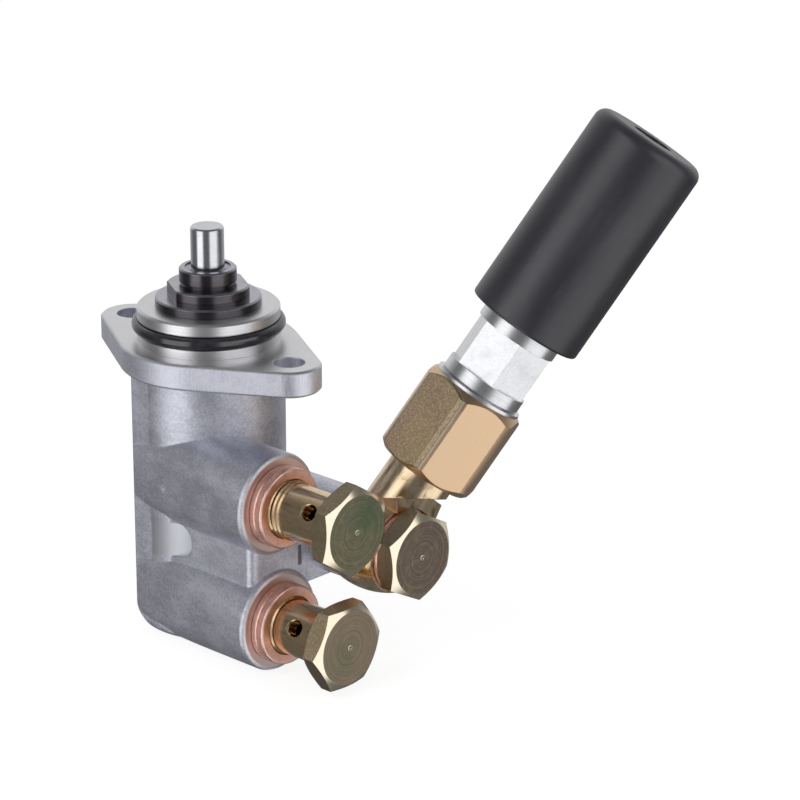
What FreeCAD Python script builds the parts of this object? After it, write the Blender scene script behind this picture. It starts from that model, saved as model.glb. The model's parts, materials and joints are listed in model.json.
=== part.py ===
import FreeCAD, Part
import math
import os

# Frame: the pump axis is Z, z = 0 is the mounting face of the flange, the ports point to -Y

# Housing barrel and flange
BARREL_R = 20.5
BARREL_DEPTH = 81.0
BARREL_EDGE = 2.4
FLANGE_T = 7.2
FLANGE_WAIST_R = 24.3
FLANGE_END_R = 8.7
FLANGE_EDGE = 0.6
FLANGE_BOLT_SPACING = 61.0
FLANGE_BOLT_R = 4.3

# Machined spigot and its seal
COLLAR_R = 19.4
COLLAR_H = 9.7
COLLAR_CHAMFER = 0.6
RING_SECTION_R = 1.65
RING_HEIGHT = 4.5
RING_STAND_OUT = 1.45
RING_SIDES = 16
GROOVE_SIDE = 0.3
SEAL_SEAT = 0.05

# Port bosses on the housing
PORT_X = -11.6
PORT_TOP_Z = -35.2
PORT_PITCH = 33.4
PORT_BOSS_R = 14.0
PORT_FACE = 37.5
PORT_BACK = 9.0
PORT_EDGE = 1.1
PORT_BORE_DEPTH = 16.0
SIDE_FLAT_X = 20.6
SIDE_TAPER = 4.7
SIDE_CORNER_R = 9.0
REAR_EDGE = 9.0
PAD_H = 2.8
PAD_LENGTH = 11.1
PAD_FRONT = 4.5
PAD_Z = -37.1
PAD_STAND_OUT = 0.5

# Web and relief between the port bosses
WEB_SET_BACK = 0.6
WEB_FRONT = 36.0
WEB_EDGE = 2.5
RELIEF_H = 9.6
RELIEF_LENGTH = 15.4
RELIEF_TILT = 10.0
RELIEF_DROP = 1.0
STRIP_WIDTH = 6.6
STRIP_SHIFT = 0.4
STRIP_SET_IN = 0.3
STRIP_CORNER_R = 5.0
WALL_H = 19.0

# Primer port boss
PRIMER_X = 12.6
PRIMER_Z = -49.3
PRIMER_BOSS_R = 12.0
PRIMER_FACE = 41.7

# Pumping chamber
CHAMBER_R = 10.0
CHAMBER_FLOOR = 7.0
SPRING_POST_R = 7.0
SPRING_POST_H = 16.0
PISTON_SPARE = 1.0
PISTON_CROWN = 4.0
STROKE = 8.0
RUNNING_FIT = 0.04

# Guide bush and push pin
GUIDE_THREAD_R = 12.4
GUIDE_DEPTH = 12.0
GUIDE_DISK_R = 14.4
GUIDE_DISK_H = 2.5
GUIDE_HEAD_R = 11.5
GUIDE_HEAD_H = 3.3
GUIDE_HEAD_FLATS = 20.2
GUIDE_FLAT_TURN = 60.0
GUIDE_NECK_R = 6.9
GUIDE_NECK_H = 0.9
GUIDE_NOSE_R = 7.8
GUIDE_NOSE_H = 3.8
GUIDE_MOUTH_R = 6.2
GUIDE_MOUTH_DEPTH = 1.0
GUIDE_EDGE = 0.45
SEAL_SEAT_R = 13.9
SEAL_RING_H = 1.0
PIN_R = 4.54
PIN_STAND_OUT = 11.3
PIN_CHAMFER = 0.45
PIN_SEAL_R = 6.8
PIN_SEAL_H = 3.0
PIN_SEAL_DROP = 6.0

# Banjo bolts, all three alike
BOLT_THREAD_R = 7.9
BOLT_SHANK_R = 7.45
BOLT_SHANK_LENGTH = 19.0
BOLT_LENGTH = 32.0
BOLT_HEAD_FLATS = 22.0
BOLT_HEAD_H = 6.2
BOLT_FACE_R = 10.15
BOLT_CHAMFER_RISE = 0.55
BOLT_FLOW_R = 4.0
BOLT_CROSS_R = 2.25
BOLT_CROSS_RIM = 0.45
BOLT_DIMPLE_R = 0.8
THREAD_GAP = 0.05
TOP_BOLT_OUT = 18.4
LOW_BOLT_OUT = 15.6
TOP_BOLT_TURN = 25.3
LOW_BOLT_TURN = 1.5
PRIMER_BOLT_TURN = 31.8
TOP_DRILL_TURN = 145.2
LOW_DRILL_TURN = 152.0
PRIMER_DRILL_TURN = 90.0
TOP_DRILL_AT = 5.5
LOW_DRILL_AT = 7.9
PRIMER_DRILL_AT = 9.6

# Copper sealing washers
WASHER_R = 11.0
WASHER_BORE_R = 8.2
WASHER_T = 2.2
WASHER_EDGE = 0.5
PRIMER_WASHER_T = 1.5

# Check valves in the two ports
VALVE_BORE_R = 7.0
VALVE_SEAT_H = 2.5
VALVE_SEAT_HOLE_R = 3.6
VALVE_PLATE_R = 5.6
VALVE_PLATE_H = 1.2
VALVE_LIFT = 1.5
VALVE_SPRING_R = 3.6
VALVE_WIRE_R = 0.4
VALVE_SPRING_SPARE = 1.7
VALVE_SPRING_TURNS = 2.5
FEED_HOLE_R = 2.2
FEED_SHIFT = 3.6

# Piston spring
SPRING_R = 5.6
SPRING_WIRE_R = 0.9
SPRING_TURNS = 5.0
WIRE_SIDES = 6

# Banjo eye of the primer
EYE_R = 13.1
EYE_END_R = 11.8
EYE_T = 16.2
EYE_BORE_GAP = 0.4
EYE_CHANNEL = 1.2
EYE_CHANNEL_WIDTH = 8.0
SPOT_R = 11.8
FOOT_STAND_OUT = 1.0
FOOT_DEPTH = 13.0
FOOT_TOP_TILT_Y = 13.8
FOOT_TOP_TILT_X = 17.3
FOOT_TOP_Z = 13.0
FOOT_TOP_X = 6.0
FOOT_LEFT = 2.7
FOOT_RIGHT = 14.8
FOOT_SHOULDER = 8.9
FOOT_BASE = 9.2
FOOT_CHIN = 12.0
FOOT_CHIN_H = 4.98
FOOT_PEAK = 3.6
FOOT_H = 18.14

# Primer axis: swung towards +X from the vertical, leaning towards -Y
PRIMER_SWING = 29.7
PRIMER_LEAN = 19.0
PRIMER_AXIS_OUT = 49.7
STEM_R = 9.4
STEM_TOP = 33.0
STEM_COLLAR_R = 10.9
STEM_BORE_R = 4.0

# Union nut, lock ring and primer barrel, stations measured along the primer axis
NUT_FLATS = 27.0
NUT_CORNER_R = 14.9
NUT_FROM = 23.6
NUT_LENGTH = 25.6
NUT_CHAMFER = 2.0
NUT_TURN = 32.0
NUT_LIP = 4.0
LOCK_RING_R = 12.7
LOCK_RING_H = 0.9
SLEEVE_R = 11.6
SLEEVE_RING_H = 3.9
SLEEVE_FLATS = 20.0
SLEEVE_FLATS_LENGTH = 13.3
SLEEVE_TURN = 50.0
SLEEVE_NECK_R = 11.2
SLEEVE_BORE_R = 8.0
SLEEVE_END_WALL = 5.0
SLEEVE_EDGE = 0.5

# Knob, rod and primer piston
KNOB_R = 16.2
KNOB_FROM = 71.0
KNOB_LENGTH = 59.8
KNOB_TOP_EDGE = 3.2
KNOB_LOW_EDGE = 0.8
KNOB_WALL_GAP = 0.5
KNOB_HEAD = 22.0
KNOB_RECESS_R = 5.8
KNOB_RECESS_DEPTH = 2.4
KNOB_RECESS_EDGE = 1.0
ROD_R = 3.0
PRIMER_PISTON_L = 9.0
PRIMER_PISTON_AT = 58.0
PRIMER_STROKE = 30.0
PRIMER_STROKE_SPARE = 6.0
CUP_SEAL_H = 2.4
CUP_SEAL_DEPTH = 1.6

# Levels and places that follow from the sizes above
PORT_LOW_Z = PORT_TOP_Z - PORT_PITCH
GUIDE_SEAT_Z = COLLAR_H
GUIDE_HEAD_Z = GUIDE_SEAT_Z + GUIDE_DISK_H
GUIDE_NECK_Z = GUIDE_HEAD_Z + GUIDE_HEAD_H
GUIDE_NOSE_Z = GUIDE_NECK_Z + GUIDE_NECK_H
GUIDE_TOP_Z = GUIDE_NOSE_Z + GUIDE_NOSE_H
PISTON_TOP_Z = -GUIDE_DEPTH
PISTON_LENGTH = PISTON_TOP_Z - PORT_TOP_Z - FEED_HOLE_R - STROKE - PISTON_SPARE
CHAMBER_FLOOR_Z = CHAMBER_FLOOR - BARREL_DEPTH
POST_TOP_Z = CHAMBER_FLOOR_Z + SPRING_POST_H
PORT_MIDDLE_Z = (PORT_TOP_Z + PORT_LOW_Z) / 2
WASHERS_OUT = PORT_FACE + 2 * WASHER_T
VALVE_FROM = PORT_FACE - PORT_BORE_DEPTH
VALVE_SPRING_LENGTH = 2 * VALVE_WIRE_R * (VALVE_SPRING_TURNS + 1) + VALVE_LIFT + VALVE_SPRING_SPARE
VALVE_DEPTH = VALVE_SEAT_H + VALVE_PLATE_H + VALVE_SPRING_LENGTH
EYE_BACK = PRIMER_FACE + PRIMER_WASHER_T
EYE_MID = EYE_BACK + EYE_T / 2
EYE_FRONT = EYE_BACK + EYE_T
PRIMER_BOLT_SEAT = EYE_FRONT + PRIMER_WASHER_T
NUT_TO = NUT_FROM + NUT_LENGTH
SLEEVE_FLATS_FROM = NUT_TO + LOCK_RING_H + SLEEVE_RING_H
SLEEVE_FLATS_TO = SLEEVE_FLATS_FROM + SLEEVE_FLATS_LENGTH
SLEEVE_BORE_TO = PRIMER_PISTON_AT + PRIMER_PISTON_L + PRIMER_STROKE + PRIMER_STROKE_SPARE
SLEEVE_TOP = SLEEVE_BORE_TO + SLEEVE_END_WALL
KNOB_TO = KNOB_FROM + KNOB_LENGTH
CAVITY_TO = KNOB_TO - KNOB_HEAD
HALF_PITCH = FLANGE_BOLT_SPACING / 2

UP = FreeCAD.Vector(0, 0, 1)


def cylinder(radius, low, high, x=0.0, y=0.0):
    """Cylinder along Z between two heights."""
    return Part.makeCylinder(radius, high - low, FreeCAD.Vector(x, y, low))


def tube(inner, outer, low, high):
    """Round tube along Z between two heights."""
    return cylinder(outer, low, high).cut(cylinder(inner, low - 1, high + 1))


def revolved(points):
    """Solid of revolution about Z from a closed radius and height profile."""
    corners = [FreeCAD.Vector(r, 0, z) for r, z in points]
    wire = Part.makePolygon(corners + corners[:1])
    return Part.Face(wire).revolve(FreeCAD.Vector(), UP, 360)


def quarter_round(u, v, radius, start, steps):
    """Points along a rounded corner of a turned profile, a quarter turn from one angle."""
    angles = [start + math.pi / 2 * i / steps for i in range(steps + 1)]
    return [(u + radius * math.cos(a), v + radius * math.sin(a)) for a in angles]


def prism(points, low, high):
    """Straight prism along Z over a closed outline."""
    corners = [FreeCAD.Vector(x, y, low) for x, y in points]
    wire = Part.makePolygon(corners + corners[:1])
    return Part.Face(wire).extrude(UP * (high - low))


def hexagon(flats, low, high, turn):
    """Hexagonal prism along Z with one corner at the given angle."""
    reach = flats / math.sqrt(3)
    angles = [math.radians(turn + 60 * i) for i in range(6)]
    return prism([(reach * math.cos(a), reach * math.sin(a)) for a in angles], low, high)


def coil(mean_r, wire_r, low, high, turns):
    """Open helical spring whose wire ends stay between two heights."""
    pitch = (high - low - 2 * wire_r) / turns
    path = Part.makeHelix(pitch, pitch * turns, mean_r)
    slope = math.atan2(pitch, 2 * math.pi * mean_r)
    start = FreeCAD.Vector(mean_r, 0, 0)
    outward = FreeCAD.Vector(wire_r, 0, 0)
    upward = FreeCAD.Vector(0, -math.sin(slope), math.cos(slope)) * wire_r
    angles = [2 * math.pi * i / WIRE_SIDES for i in range(WIRE_SIDES)]
    corners = [start + outward * math.cos(a) + upward * math.sin(a) for a in angles]
    section = Part.makePolygon(corners + corners[:1])
    spring = Part.Wire(path).makePipeShell([section], True, True)
    spring.translate(FreeCAD.Vector(0, 0, low + wire_r))
    return spring


def out_of_port(shape, x, z):
    """Turn a shape made along +Z so that it points out of a port, along -Y."""
    placed = shape.copy()
    placed.rotate(FreeCAD.Vector(), FreeCAD.Vector(1, 0, 0), 90)
    placed.translate(FreeCAD.Vector(x, 0, z))
    return placed


def on_primer_axis(shape):
    """Swing and lean a shape made along +Z onto the primer axis."""
    placed = shape.copy()
    placed.rotate(FreeCAD.Vector(), FreeCAD.Vector(1, 0, 0), PRIMER_LEAN)
    placed.rotate(FreeCAD.Vector(), FreeCAD.Vector(0, 1, 0), PRIMER_SWING)
    placed.translate(FreeCAD.Vector(PRIMER_X, -PRIMER_AXIS_OUT, PRIMER_Z))
    return placed


def flange_plate():
    """Two-bolt flange outline: three circles joined by tangent lines."""
    slope = math.asin((FLANGE_WAIST_R - FLANGE_END_R) / HALF_PITCH)
    across = math.cos(slope)
    along = math.sin(slope)

    def waist(sx, sy):
        return FreeCAD.Vector(sx * FLANGE_WAIST_R * across, sy * FLANGE_WAIST_R * along, 0)

    def end(sx, sy):
        reach = HALF_PITCH + FLANGE_END_R * along
        return FreeCAD.Vector(sx * FLANGE_END_R * across, sy * reach, 0)

    tip = HALF_PITCH + FLANGE_END_R
    edges = [
        Part.Arc(waist(1, -1), FreeCAD.Vector(FLANGE_WAIST_R, 0, 0), waist(1, 1)).toShape(),
        Part.makeLine(waist(1, 1), end(1, 1)),
        Part.Arc(end(1, 1), FreeCAD.Vector(0, tip, 0), end(-1, 1)).toShape(),
        Part.makeLine(end(-1, 1), waist(-1, 1)),
        Part.Arc(waist(-1, 1), FreeCAD.Vector(-FLANGE_WAIST_R, 0, 0), waist(-1, -1)).toShape(),
        Part.makeLine(waist(-1, -1), end(-1, -1)),
        Part.Arc(end(-1, -1), FreeCAD.Vector(0, -tip, 0), end(1, -1)).toShape(),
        Part.makeLine(end(1, -1), waist(1, -1)),
    ]
    plate = Part.Face(Part.Wire(edges)).extrude(-UP * FLANGE_T)
    rims = [e for e in plate.Edges if abs(e.BoundBox.ZMax - e.BoundBox.ZMin) < 1e-6]
    return plate.makeChamfer(FLANGE_EDGE, rims)


def barrel():
    """Vertical pump barrel with a rounded bottom rim."""
    rim = quarter_round(BARREL_R - BARREL_EDGE, BARREL_EDGE - BARREL_DEPTH, BARREL_EDGE, -math.pi / 2, 4)
    return revolved([(0, -BARREL_DEPTH)] + rim + [(BARREL_R, -FLANGE_T / 2), (0, -FLANGE_T / 2)])


def side_limit(stand_out):
    """Everything inside the tapered side plane of the port bosses."""
    rear_x = -SIDE_FLAT_X - stand_out
    front_x = rear_x - SIDE_TAPER
    far = BARREL_R * 3
    outline = [
        (rear_x, far), (rear_x, PORT_BACK), (front_x, -WEB_FRONT), (front_x, -far), (far, -far), (far, far)]
    return prism(outline, -BARREL_DEPTH - PORT_BOSS_R, 0)


def port_boss(z):
    """One port boss: its side flat runs out to a full circle at the front."""
    body = out_of_port(cylinder(PORT_BOSS_R, -PORT_BACK, WEB_FRONT), PORT_X, z)
    body = body.common(side_limit(0))
    rims = [e for e in body.Edges if e.BoundBox.XMax < PORT_X and e.BoundBox.YLength > WEB_FRONT]
    body = body.makeFillet(SIDE_CORNER_R, rims)
    rim = quarter_round(PORT_BOSS_R - PORT_EDGE, PORT_FACE - PORT_EDGE, PORT_EDGE, 0, 2)
    mouth = revolved([(0, WEB_FRONT), (PORT_BOSS_R, WEB_FRONT)] + rim + [(0, PORT_FACE)])
    return body.fuse(out_of_port(mouth, PORT_X, z))


def relief():
    """Round-nosed pocket between the bosses that bares the barrel."""
    length = RELIEF_LENGTH - RELIEF_H / 2
    pocket = Part.makeBox(
        BARREL_R * 2, length + STRIP_WIDTH, RELIEF_H, FreeCAD.Vector(-BARREL_R * 2, -length, -RELIEF_H / 2))
    nose = Part.makeCylinder(
        RELIEF_H / 2, BARREL_R * 2, FreeCAD.Vector(-BARREL_R * 2, -length, 0), FreeCAD.Vector(1, 0, 0))
    pocket = pocket.fuse(nose)
    pocket.rotate(FreeCAD.Vector(), FreeCAD.Vector(1, 0, 0), -RELIEF_TILT)
    pocket.translate(FreeCAD.Vector(0, PORT_BACK - STRIP_WIDTH, PORT_MIDDLE_Z - RELIEF_DROP))
    return pocket


def side_pad():
    """Low oval pad on the flat side of the upper port boss."""
    radius = PAD_H / 2
    length = PAD_LENGTH - PAD_H
    outer_x = -SIDE_FLAT_X - SIDE_TAPER
    thick = SIDE_TAPER * 2
    front = radius - PAD_FRONT
    slab = Part.makeBox(thick, length, PAD_H, FreeCAD.Vector(outer_x, front, PAD_Z - radius))
    for y in (front, front + length):
        slab = slab.fuse(Part.makeCylinder(
            radius, thick, FreeCAD.Vector(outer_x, y, PAD_Z), FreeCAD.Vector(1, 0, 0)))
    return slab.common(side_limit(PAD_STAND_OUT))


def rear_limit():
    """Room for the port block, its low rear corner rounded."""
    low = PORT_LOW_Z - PORT_BOSS_R
    room = Part.makeBox(
        4 * BARREL_R, PORT_BACK + 2 * PORT_FACE, -low, FreeCAD.Vector(-2 * BARREL_R, -2 * PORT_FACE, low))
    corner = [e for e in room.Edges if e.BoundBox.YMin > PORT_BACK - 0.01 and e.BoundBox.ZMax < low + 0.01]
    return room.makeFillet(REAR_EDGE, corner)


def port_block():
    """Both port bosses with the web between them and the relief in it."""
    web_x = -SIDE_FLAT_X + WEB_SET_BACK
    web = Part.makeBox(
        -web_x, WEB_FRONT + PORT_BACK, PORT_PITCH, FreeCAD.Vector(web_x, -WEB_FRONT, PORT_LOW_Z))
    front = [e for e in web.Edges if e.BoundBox.YMax < 0.01 - WEB_FRONT and e.BoundBox.XMax < web_x + 0.01]
    web = web.makeFillet(WEB_EDGE, front)
    block = web.fuse(port_boss(PORT_TOP_Z)).fuse(port_boss(PORT_LOW_Z))
    return block.common(rear_limit()).cut(relief()).fuse(side_pad())


def side_strip():
    """Flat vertical strip behind the port bosses, its low rear corner rounded."""
    height = BARREL_DEPTH - BARREL_EDGE - FLANGE_T / 2
    low = BARREL_EDGE - BARREL_DEPTH
    rear = PORT_BACK + STRIP_SHIFT
    start = FreeCAD.Vector(STRIP_SET_IN - SIDE_FLAT_X, rear - STRIP_WIDTH, low)
    strip = Part.makeBox(SIDE_FLAT_X / 2, STRIP_WIDTH, height, start)
    corner = [e for e in strip.Edges if e.BoundBox.YMin > rear - 0.01 and e.BoundBox.ZMax < low + 0.01]
    return strip.makeFillet(STRIP_CORNER_R, corner)


def front_wall():
    """Wall between the port bosses and the primer boss."""
    return Part.makeBox(
        PRIMER_X - PORT_X, WEB_FRONT, WALL_H, FreeCAD.Vector(PORT_X, -WEB_FRONT, PORT_MIDDLE_Z - WALL_H / 2))


def primer_boss():
    """Long round boss that carries the hand primer."""
    return out_of_port(cylinder(PRIMER_BOSS_R, 0, PRIMER_FACE), PRIMER_X, PRIMER_Z)


def spigot():
    """Machined collar above the flange, with the groove for its ring."""
    collar = revolved([
        (0, -FLANGE_T / 2), (COLLAR_R, -FLANGE_T / 2), (COLLAR_R, COLLAR_H - COLLAR_CHAMFER),
        (COLLAR_R - COLLAR_CHAMFER, COLLAR_H), (0, COLLAR_H)])
    reach = RING_SECTION_R + GROOVE_SIDE
    floor = COLLAR_R + RING_STAND_OUT - 2 * RING_SECTION_R - SEAL_SEAT
    return collar.cut(tube(floor, COLLAR_R + 1, RING_HEIGHT - reach, RING_HEIGHT + reach))


def port_bore(x, z, face):
    """Threaded port with its valve bore, cut from outside."""
    thread = cylinder(BOLT_THREAD_R + THREAD_GAP, face - PORT_BORE_DEPTH, face + 5)
    valve = cylinder(VALVE_BORE_R, face - PORT_BORE_DEPTH - VALVE_DEPTH, face)
    return out_of_port(thread.fuse(valve), x, z)


def feed_hole(x, z, face):
    """Drilling from the bottom of a port into the pumping chamber."""
    inward = FEED_SHIFT if x < 0 else -FEED_SHIFT
    drill = cylinder(FEED_HOLE_R, 0, face)
    return out_of_port(drill, x + inward, z)


def pump_chamber():
    """Bore for guide bush, piston and spring, with the spring post left standing."""
    chamber = cylinder(CHAMBER_R, CHAMBER_FLOOR_Z, 0)
    post = cylinder(SPRING_POST_R, CHAMBER_FLOOR_Z, POST_TOP_Z)
    guide = cylinder(GUIDE_THREAD_R, -GUIDE_DEPTH, COLLAR_H + 1)
    seal = cylinder(SEAL_SEAT_R, COLLAR_H - SEAL_RING_H, COLLAR_H + 1)
    return chamber.cut(post).fuse([guide, seal])


def pump_housing():
    """Die-cast housing: barrel, flange, bosses, web and all machined bores."""
    body = barrel()
    for piece in (flange_plate(), side_strip(), port_block(), front_wall(), primer_boss(), spigot()):
        body = body.fuse(piece)
    body = body.removeSplitter()
    cuts = [pump_chamber()]
    for z in (PORT_TOP_Z, PORT_LOW_Z):
        cuts.append(port_bore(PORT_X, z, PORT_FACE))
        cuts.append(feed_hole(PORT_X, z, PORT_FACE))
    cuts.append(port_bore(PRIMER_X, PRIMER_Z, PRIMER_FACE))
    cuts.append(feed_hole(PRIMER_X, PRIMER_Z, PRIMER_FACE))
    for side in (-1, 1):
        cuts.append(cylinder(FLANGE_BOLT_R, -FLANGE_T - 1, COLLAR_H, 0, side * HALF_PITCH))
    for cut in cuts:
        body = body.cut(cut)
    return body.removeSplitter()


def flange_ring():
    """Rubber ring in the groove of the spigot."""
    middle = COLLAR_R + RING_STAND_OUT - RING_SECTION_R
    angles = [2 * math.pi * (i + 0.5) / RING_SIDES for i in range(RING_SIDES)]
    return revolved([
        (middle + RING_SECTION_R * math.cos(a), RING_HEIGHT + RING_SECTION_R * math.sin(a))
        for a in angles])


def tappet_guide():
    """Screwed-in bush: threaded body, disk, two-flat head, neck and nose."""
    body = revolved([
        (0, -GUIDE_DEPTH), (GUIDE_THREAD_R, -GUIDE_DEPTH), (GUIDE_THREAD_R, GUIDE_SEAT_Z),
        (GUIDE_DISK_R, GUIDE_SEAT_Z), (GUIDE_DISK_R, GUIDE_HEAD_Z - GUIDE_EDGE),
        (GUIDE_DISK_R - GUIDE_EDGE, GUIDE_HEAD_Z), (0, GUIDE_HEAD_Z)])
    head = revolved([
        (0, GUIDE_HEAD_Z), (GUIDE_HEAD_R, GUIDE_HEAD_Z), (GUIDE_HEAD_R, GUIDE_NECK_Z - GUIDE_EDGE),
        (GUIDE_HEAD_R - GUIDE_EDGE, GUIDE_NECK_Z), (0, GUIDE_NECK_Z)])
    slab = Part.makeBox(
        4 * GUIDE_HEAD_R, GUIDE_HEAD_FLATS, GUIDE_HEAD_H,
        FreeCAD.Vector(-2 * GUIDE_HEAD_R, -GUIDE_HEAD_FLATS / 2, GUIDE_HEAD_Z))
    slab.rotate(FreeCAD.Vector(), UP, GUIDE_FLAT_TURN)
    nose = revolved([
        (0, GUIDE_NECK_Z), (GUIDE_NECK_R, GUIDE_NECK_Z), (GUIDE_NECK_R, GUIDE_NOSE_Z),
        (GUIDE_NOSE_R, GUIDE_NOSE_Z), (GUIDE_NOSE_R, GUIDE_TOP_Z - GUIDE_EDGE),
        (GUIDE_NOSE_R - GUIDE_EDGE, GUIDE_TOP_Z), (0, GUIDE_TOP_Z)])
    seal_high = GUIDE_SEAT_Z - PIN_SEAL_DROP
    pin_bore = cylinder(PIN_R + RUNNING_FIT, -GUIDE_DEPTH - 1, GUIDE_TOP_Z + 1)
    mouth = revolved([
        (0, GUIDE_TOP_Z - GUIDE_MOUTH_DEPTH), (PIN_R + 2 * RUNNING_FIT, GUIDE_TOP_Z - GUIDE_MOUTH_DEPTH),
        (GUIDE_MOUTH_R, GUIDE_TOP_Z - GUIDE_EDGE), (GUIDE_MOUTH_R, GUIDE_TOP_Z + 1), (0, GUIDE_TOP_Z + 1)])
    seal_room = cylinder(PIN_SEAL_R, seal_high - PIN_SEAL_H, seal_high)
    return body.fuse([head.common(slab), nose]).removeSplitter().cut(pin_bore.fuse([mouth, seal_room]))


def guide_seal_ring():
    """Flat ring under the disk of the guide bush."""
    return tube(GUIDE_THREAD_R + SEAL_SEAT, SEAL_SEAT_R - SEAL_SEAT, COLLAR_H - SEAL_RING_H, COLLAR_H)


def pin_seal():
    """Lip seal round the push pin, in the bore of the guide bush."""
    high = GUIDE_SEAT_Z - PIN_SEAL_DROP
    return tube(PIN_R + RUNNING_FIT, PIN_SEAL_R, high - PIN_SEAL_H, high)


def push_pin():
    """Ground pin that stands on the piston and comes out of the guide bush."""
    high = GUIDE_TOP_Z + PIN_STAND_OUT
    edge = PIN_R - PIN_CHAMFER
    return revolved([
        (0, PISTON_TOP_Z), (edge, PISTON_TOP_Z), (PIN_R, PISTON_TOP_Z + PIN_CHAMFER),
        (PIN_R, high - PIN_CHAMFER), (edge, high), (0, high)])


def pump_piston():
    """Cup piston with its spring pocket open to the chamber."""
    low = PISTON_TOP_Z - PISTON_LENGTH
    body = cylinder(CHAMBER_R - RUNNING_FIT, low, PISTON_TOP_Z)
    pocket = cylinder(SPRING_R + SPRING_WIRE_R + THREAD_GAP * 4, low - 1, PISTON_TOP_Z - PISTON_CROWN)
    return body.cut(pocket)


def piston_spring():
    """Spring between the crown of the piston and the spring post."""
    return coil(SPRING_R, SPRING_WIRE_R, POST_TOP_Z, PISTON_TOP_Z - PISTON_CROWN, SPRING_TURNS)


def bolt_head(turn):
    """Hexagon head, chamfered on both faces, its outer face at the top."""
    head = hexagon(BOLT_HEAD_FLATS, 0, BOLT_HEAD_H, turn)
    corner = BOLT_HEAD_FLATS / math.sqrt(3)
    drop = (corner - BOLT_FACE_R) * BOLT_CHAMFER_RISE
    limit = revolved([
        (0, 0), (BOLT_FACE_R, 0), (corner, drop), (corner, BOLT_HEAD_H - drop),
        (BOLT_FACE_R, BOLT_HEAD_H), (0, BOLT_HEAD_H)])
    centre = FreeCAD.Vector(0, 0, BOLT_HEAD_H - BOLT_DIMPLE_R)
    dimple = Part.makeCone(0, BOLT_DIMPLE_R, BOLT_DIMPLE_R, centre)
    return head.common(limit).cut(dimple)


def cross_drilling(bearing, depth):
    """Drilling through the shank with a small countersink at both ends."""
    reach = 2 * BOLT_THREAD_R
    drill = Part.makeCylinder(
        BOLT_CROSS_R, 2 * reach, FreeCAD.Vector(-reach, 0, -depth), FreeCAD.Vector(1, 0, 0))
    for side in (-1, 1):
        drill = drill.fuse(Part.makeCone(
            BOLT_CROSS_R, BOLT_CROSS_R + 2 * BOLT_CROSS_RIM, 2 * BOLT_CROSS_RIM,
            FreeCAD.Vector(side * (BOLT_SHANK_R - BOLT_CROSS_RIM), 0, -depth), FreeCAD.Vector(side, 0, 0)))
    drill.rotate(FreeCAD.Vector(), UP, bearing)
    return drill


def banjo_bolt(turn, bearing, depth):
    """Hollow bolt with its underside at z = 0, its head above and one cross drilling."""
    low = -BOLT_LENGTH
    tip = BOLT_THREAD_R - BOLT_SHANK_R
    shank = revolved([
        (0, low), (BOLT_SHANK_R, low), (BOLT_THREAD_R, low + tip),
        (BOLT_THREAD_R, -BOLT_SHANK_LENGTH - tip), (BOLT_SHANK_R, -BOLT_SHANK_LENGTH),
        (BOLT_SHANK_R, 0), (0, 0)])
    flow = cylinder(BOLT_FLOW_R, low - 1, -BOLT_CROSS_R)
    return bolt_head(turn).fuse(shank).cut(flow.fuse(cross_drilling(bearing, depth)))


def placed_bolt(x, z, out, turn, bearing, depth):
    """Banjo bolt whose head underside stands the given way out of its port."""
    bolt = banjo_bolt(turn, bearing, depth)
    bolt.translate(UP * out)
    return out_of_port(bolt, x, z)


def washer(thickness):
    """Copper ring with eased outer edges, standing on z = 0."""
    inner = WASHER_R - WASHER_EDGE
    low_edge = quarter_round(inner, WASHER_EDGE, WASHER_EDGE, -math.pi / 2, 2)
    high_edge = quarter_round(inner, thickness - WASHER_EDGE, WASHER_EDGE, 0, 2)
    return revolved([(WASHER_BORE_R, 0)] + low_edge + high_edge + [(WASHER_BORE_R, thickness)])


def placed_washer(thickness, x, z, out):
    """Copper ring lying the given way out along a port."""
    ring = washer(thickness)
    ring.translate(UP * out)
    return out_of_port(ring, x, z)


def valve_stack(outward):
    """Valve parts along +Z from the bottom of the valve bore to its mouth."""
    low = VALVE_FROM - VALVE_DEPTH
    if outward:
        seat = (low, low + VALVE_SEAT_H)
        plate = (seat[1], seat[1] + VALVE_PLATE_H)
        spring = (plate[1], VALVE_FROM)
    else:
        seat = (VALVE_FROM - VALVE_SEAT_H, VALVE_FROM)
        plate = (seat[0] - VALVE_PLATE_H, seat[0])
        spring = (low, plate[0])
    return seat, plate, spring


def valve_seat(outward):
    """Pressed-in seat ring."""
    low, high = valve_stack(outward)[0]
    return tube(VALVE_SEAT_HOLE_R, VALVE_BORE_R, low, high)


def valve_plate(outward):
    """Round valve plate that covers the hole of its seat."""
    low, high = valve_stack(outward)[1]
    return cylinder(VALVE_PLATE_R, low, high)


def valve_spring(outward):
    """Light spring that holds the valve plate on its seat."""
    low, high = valve_stack(outward)[2]
    return coil(VALVE_SPRING_R, VALVE_WIRE_R, low, high, VALVE_SPRING_TURNS)


def valve_stop():
    """Ring behind the outlet spring, in the mouth of the valve bore."""
    return tube(VALVE_SEAT_HOLE_R - VALVE_WIRE_R, BOLT_THREAD_R, VALVE_FROM, VALVE_FROM + VALVE_PLATE_H)


def foot_top():
    """Half space above the slanted top face of the banjo's foot."""
    size = 6 * EYE_R
    block = Part.makeBox(size, size, size, FreeCAD.Vector(-size / 2, -size / 2, 0))
    block.rotate(FreeCAD.Vector(), FreeCAD.Vector(1, 0, 0), -FOOT_TOP_TILT_Y)
    block.rotate(FreeCAD.Vector(), FreeCAD.Vector(0, 1, 0), FOOT_TOP_TILT_X)
    block.translate(FreeCAD.Vector(PRIMER_X + FOOT_TOP_X, -EYE_FRONT, PRIMER_Z + FOOT_TOP_Z))
    return block


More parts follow.
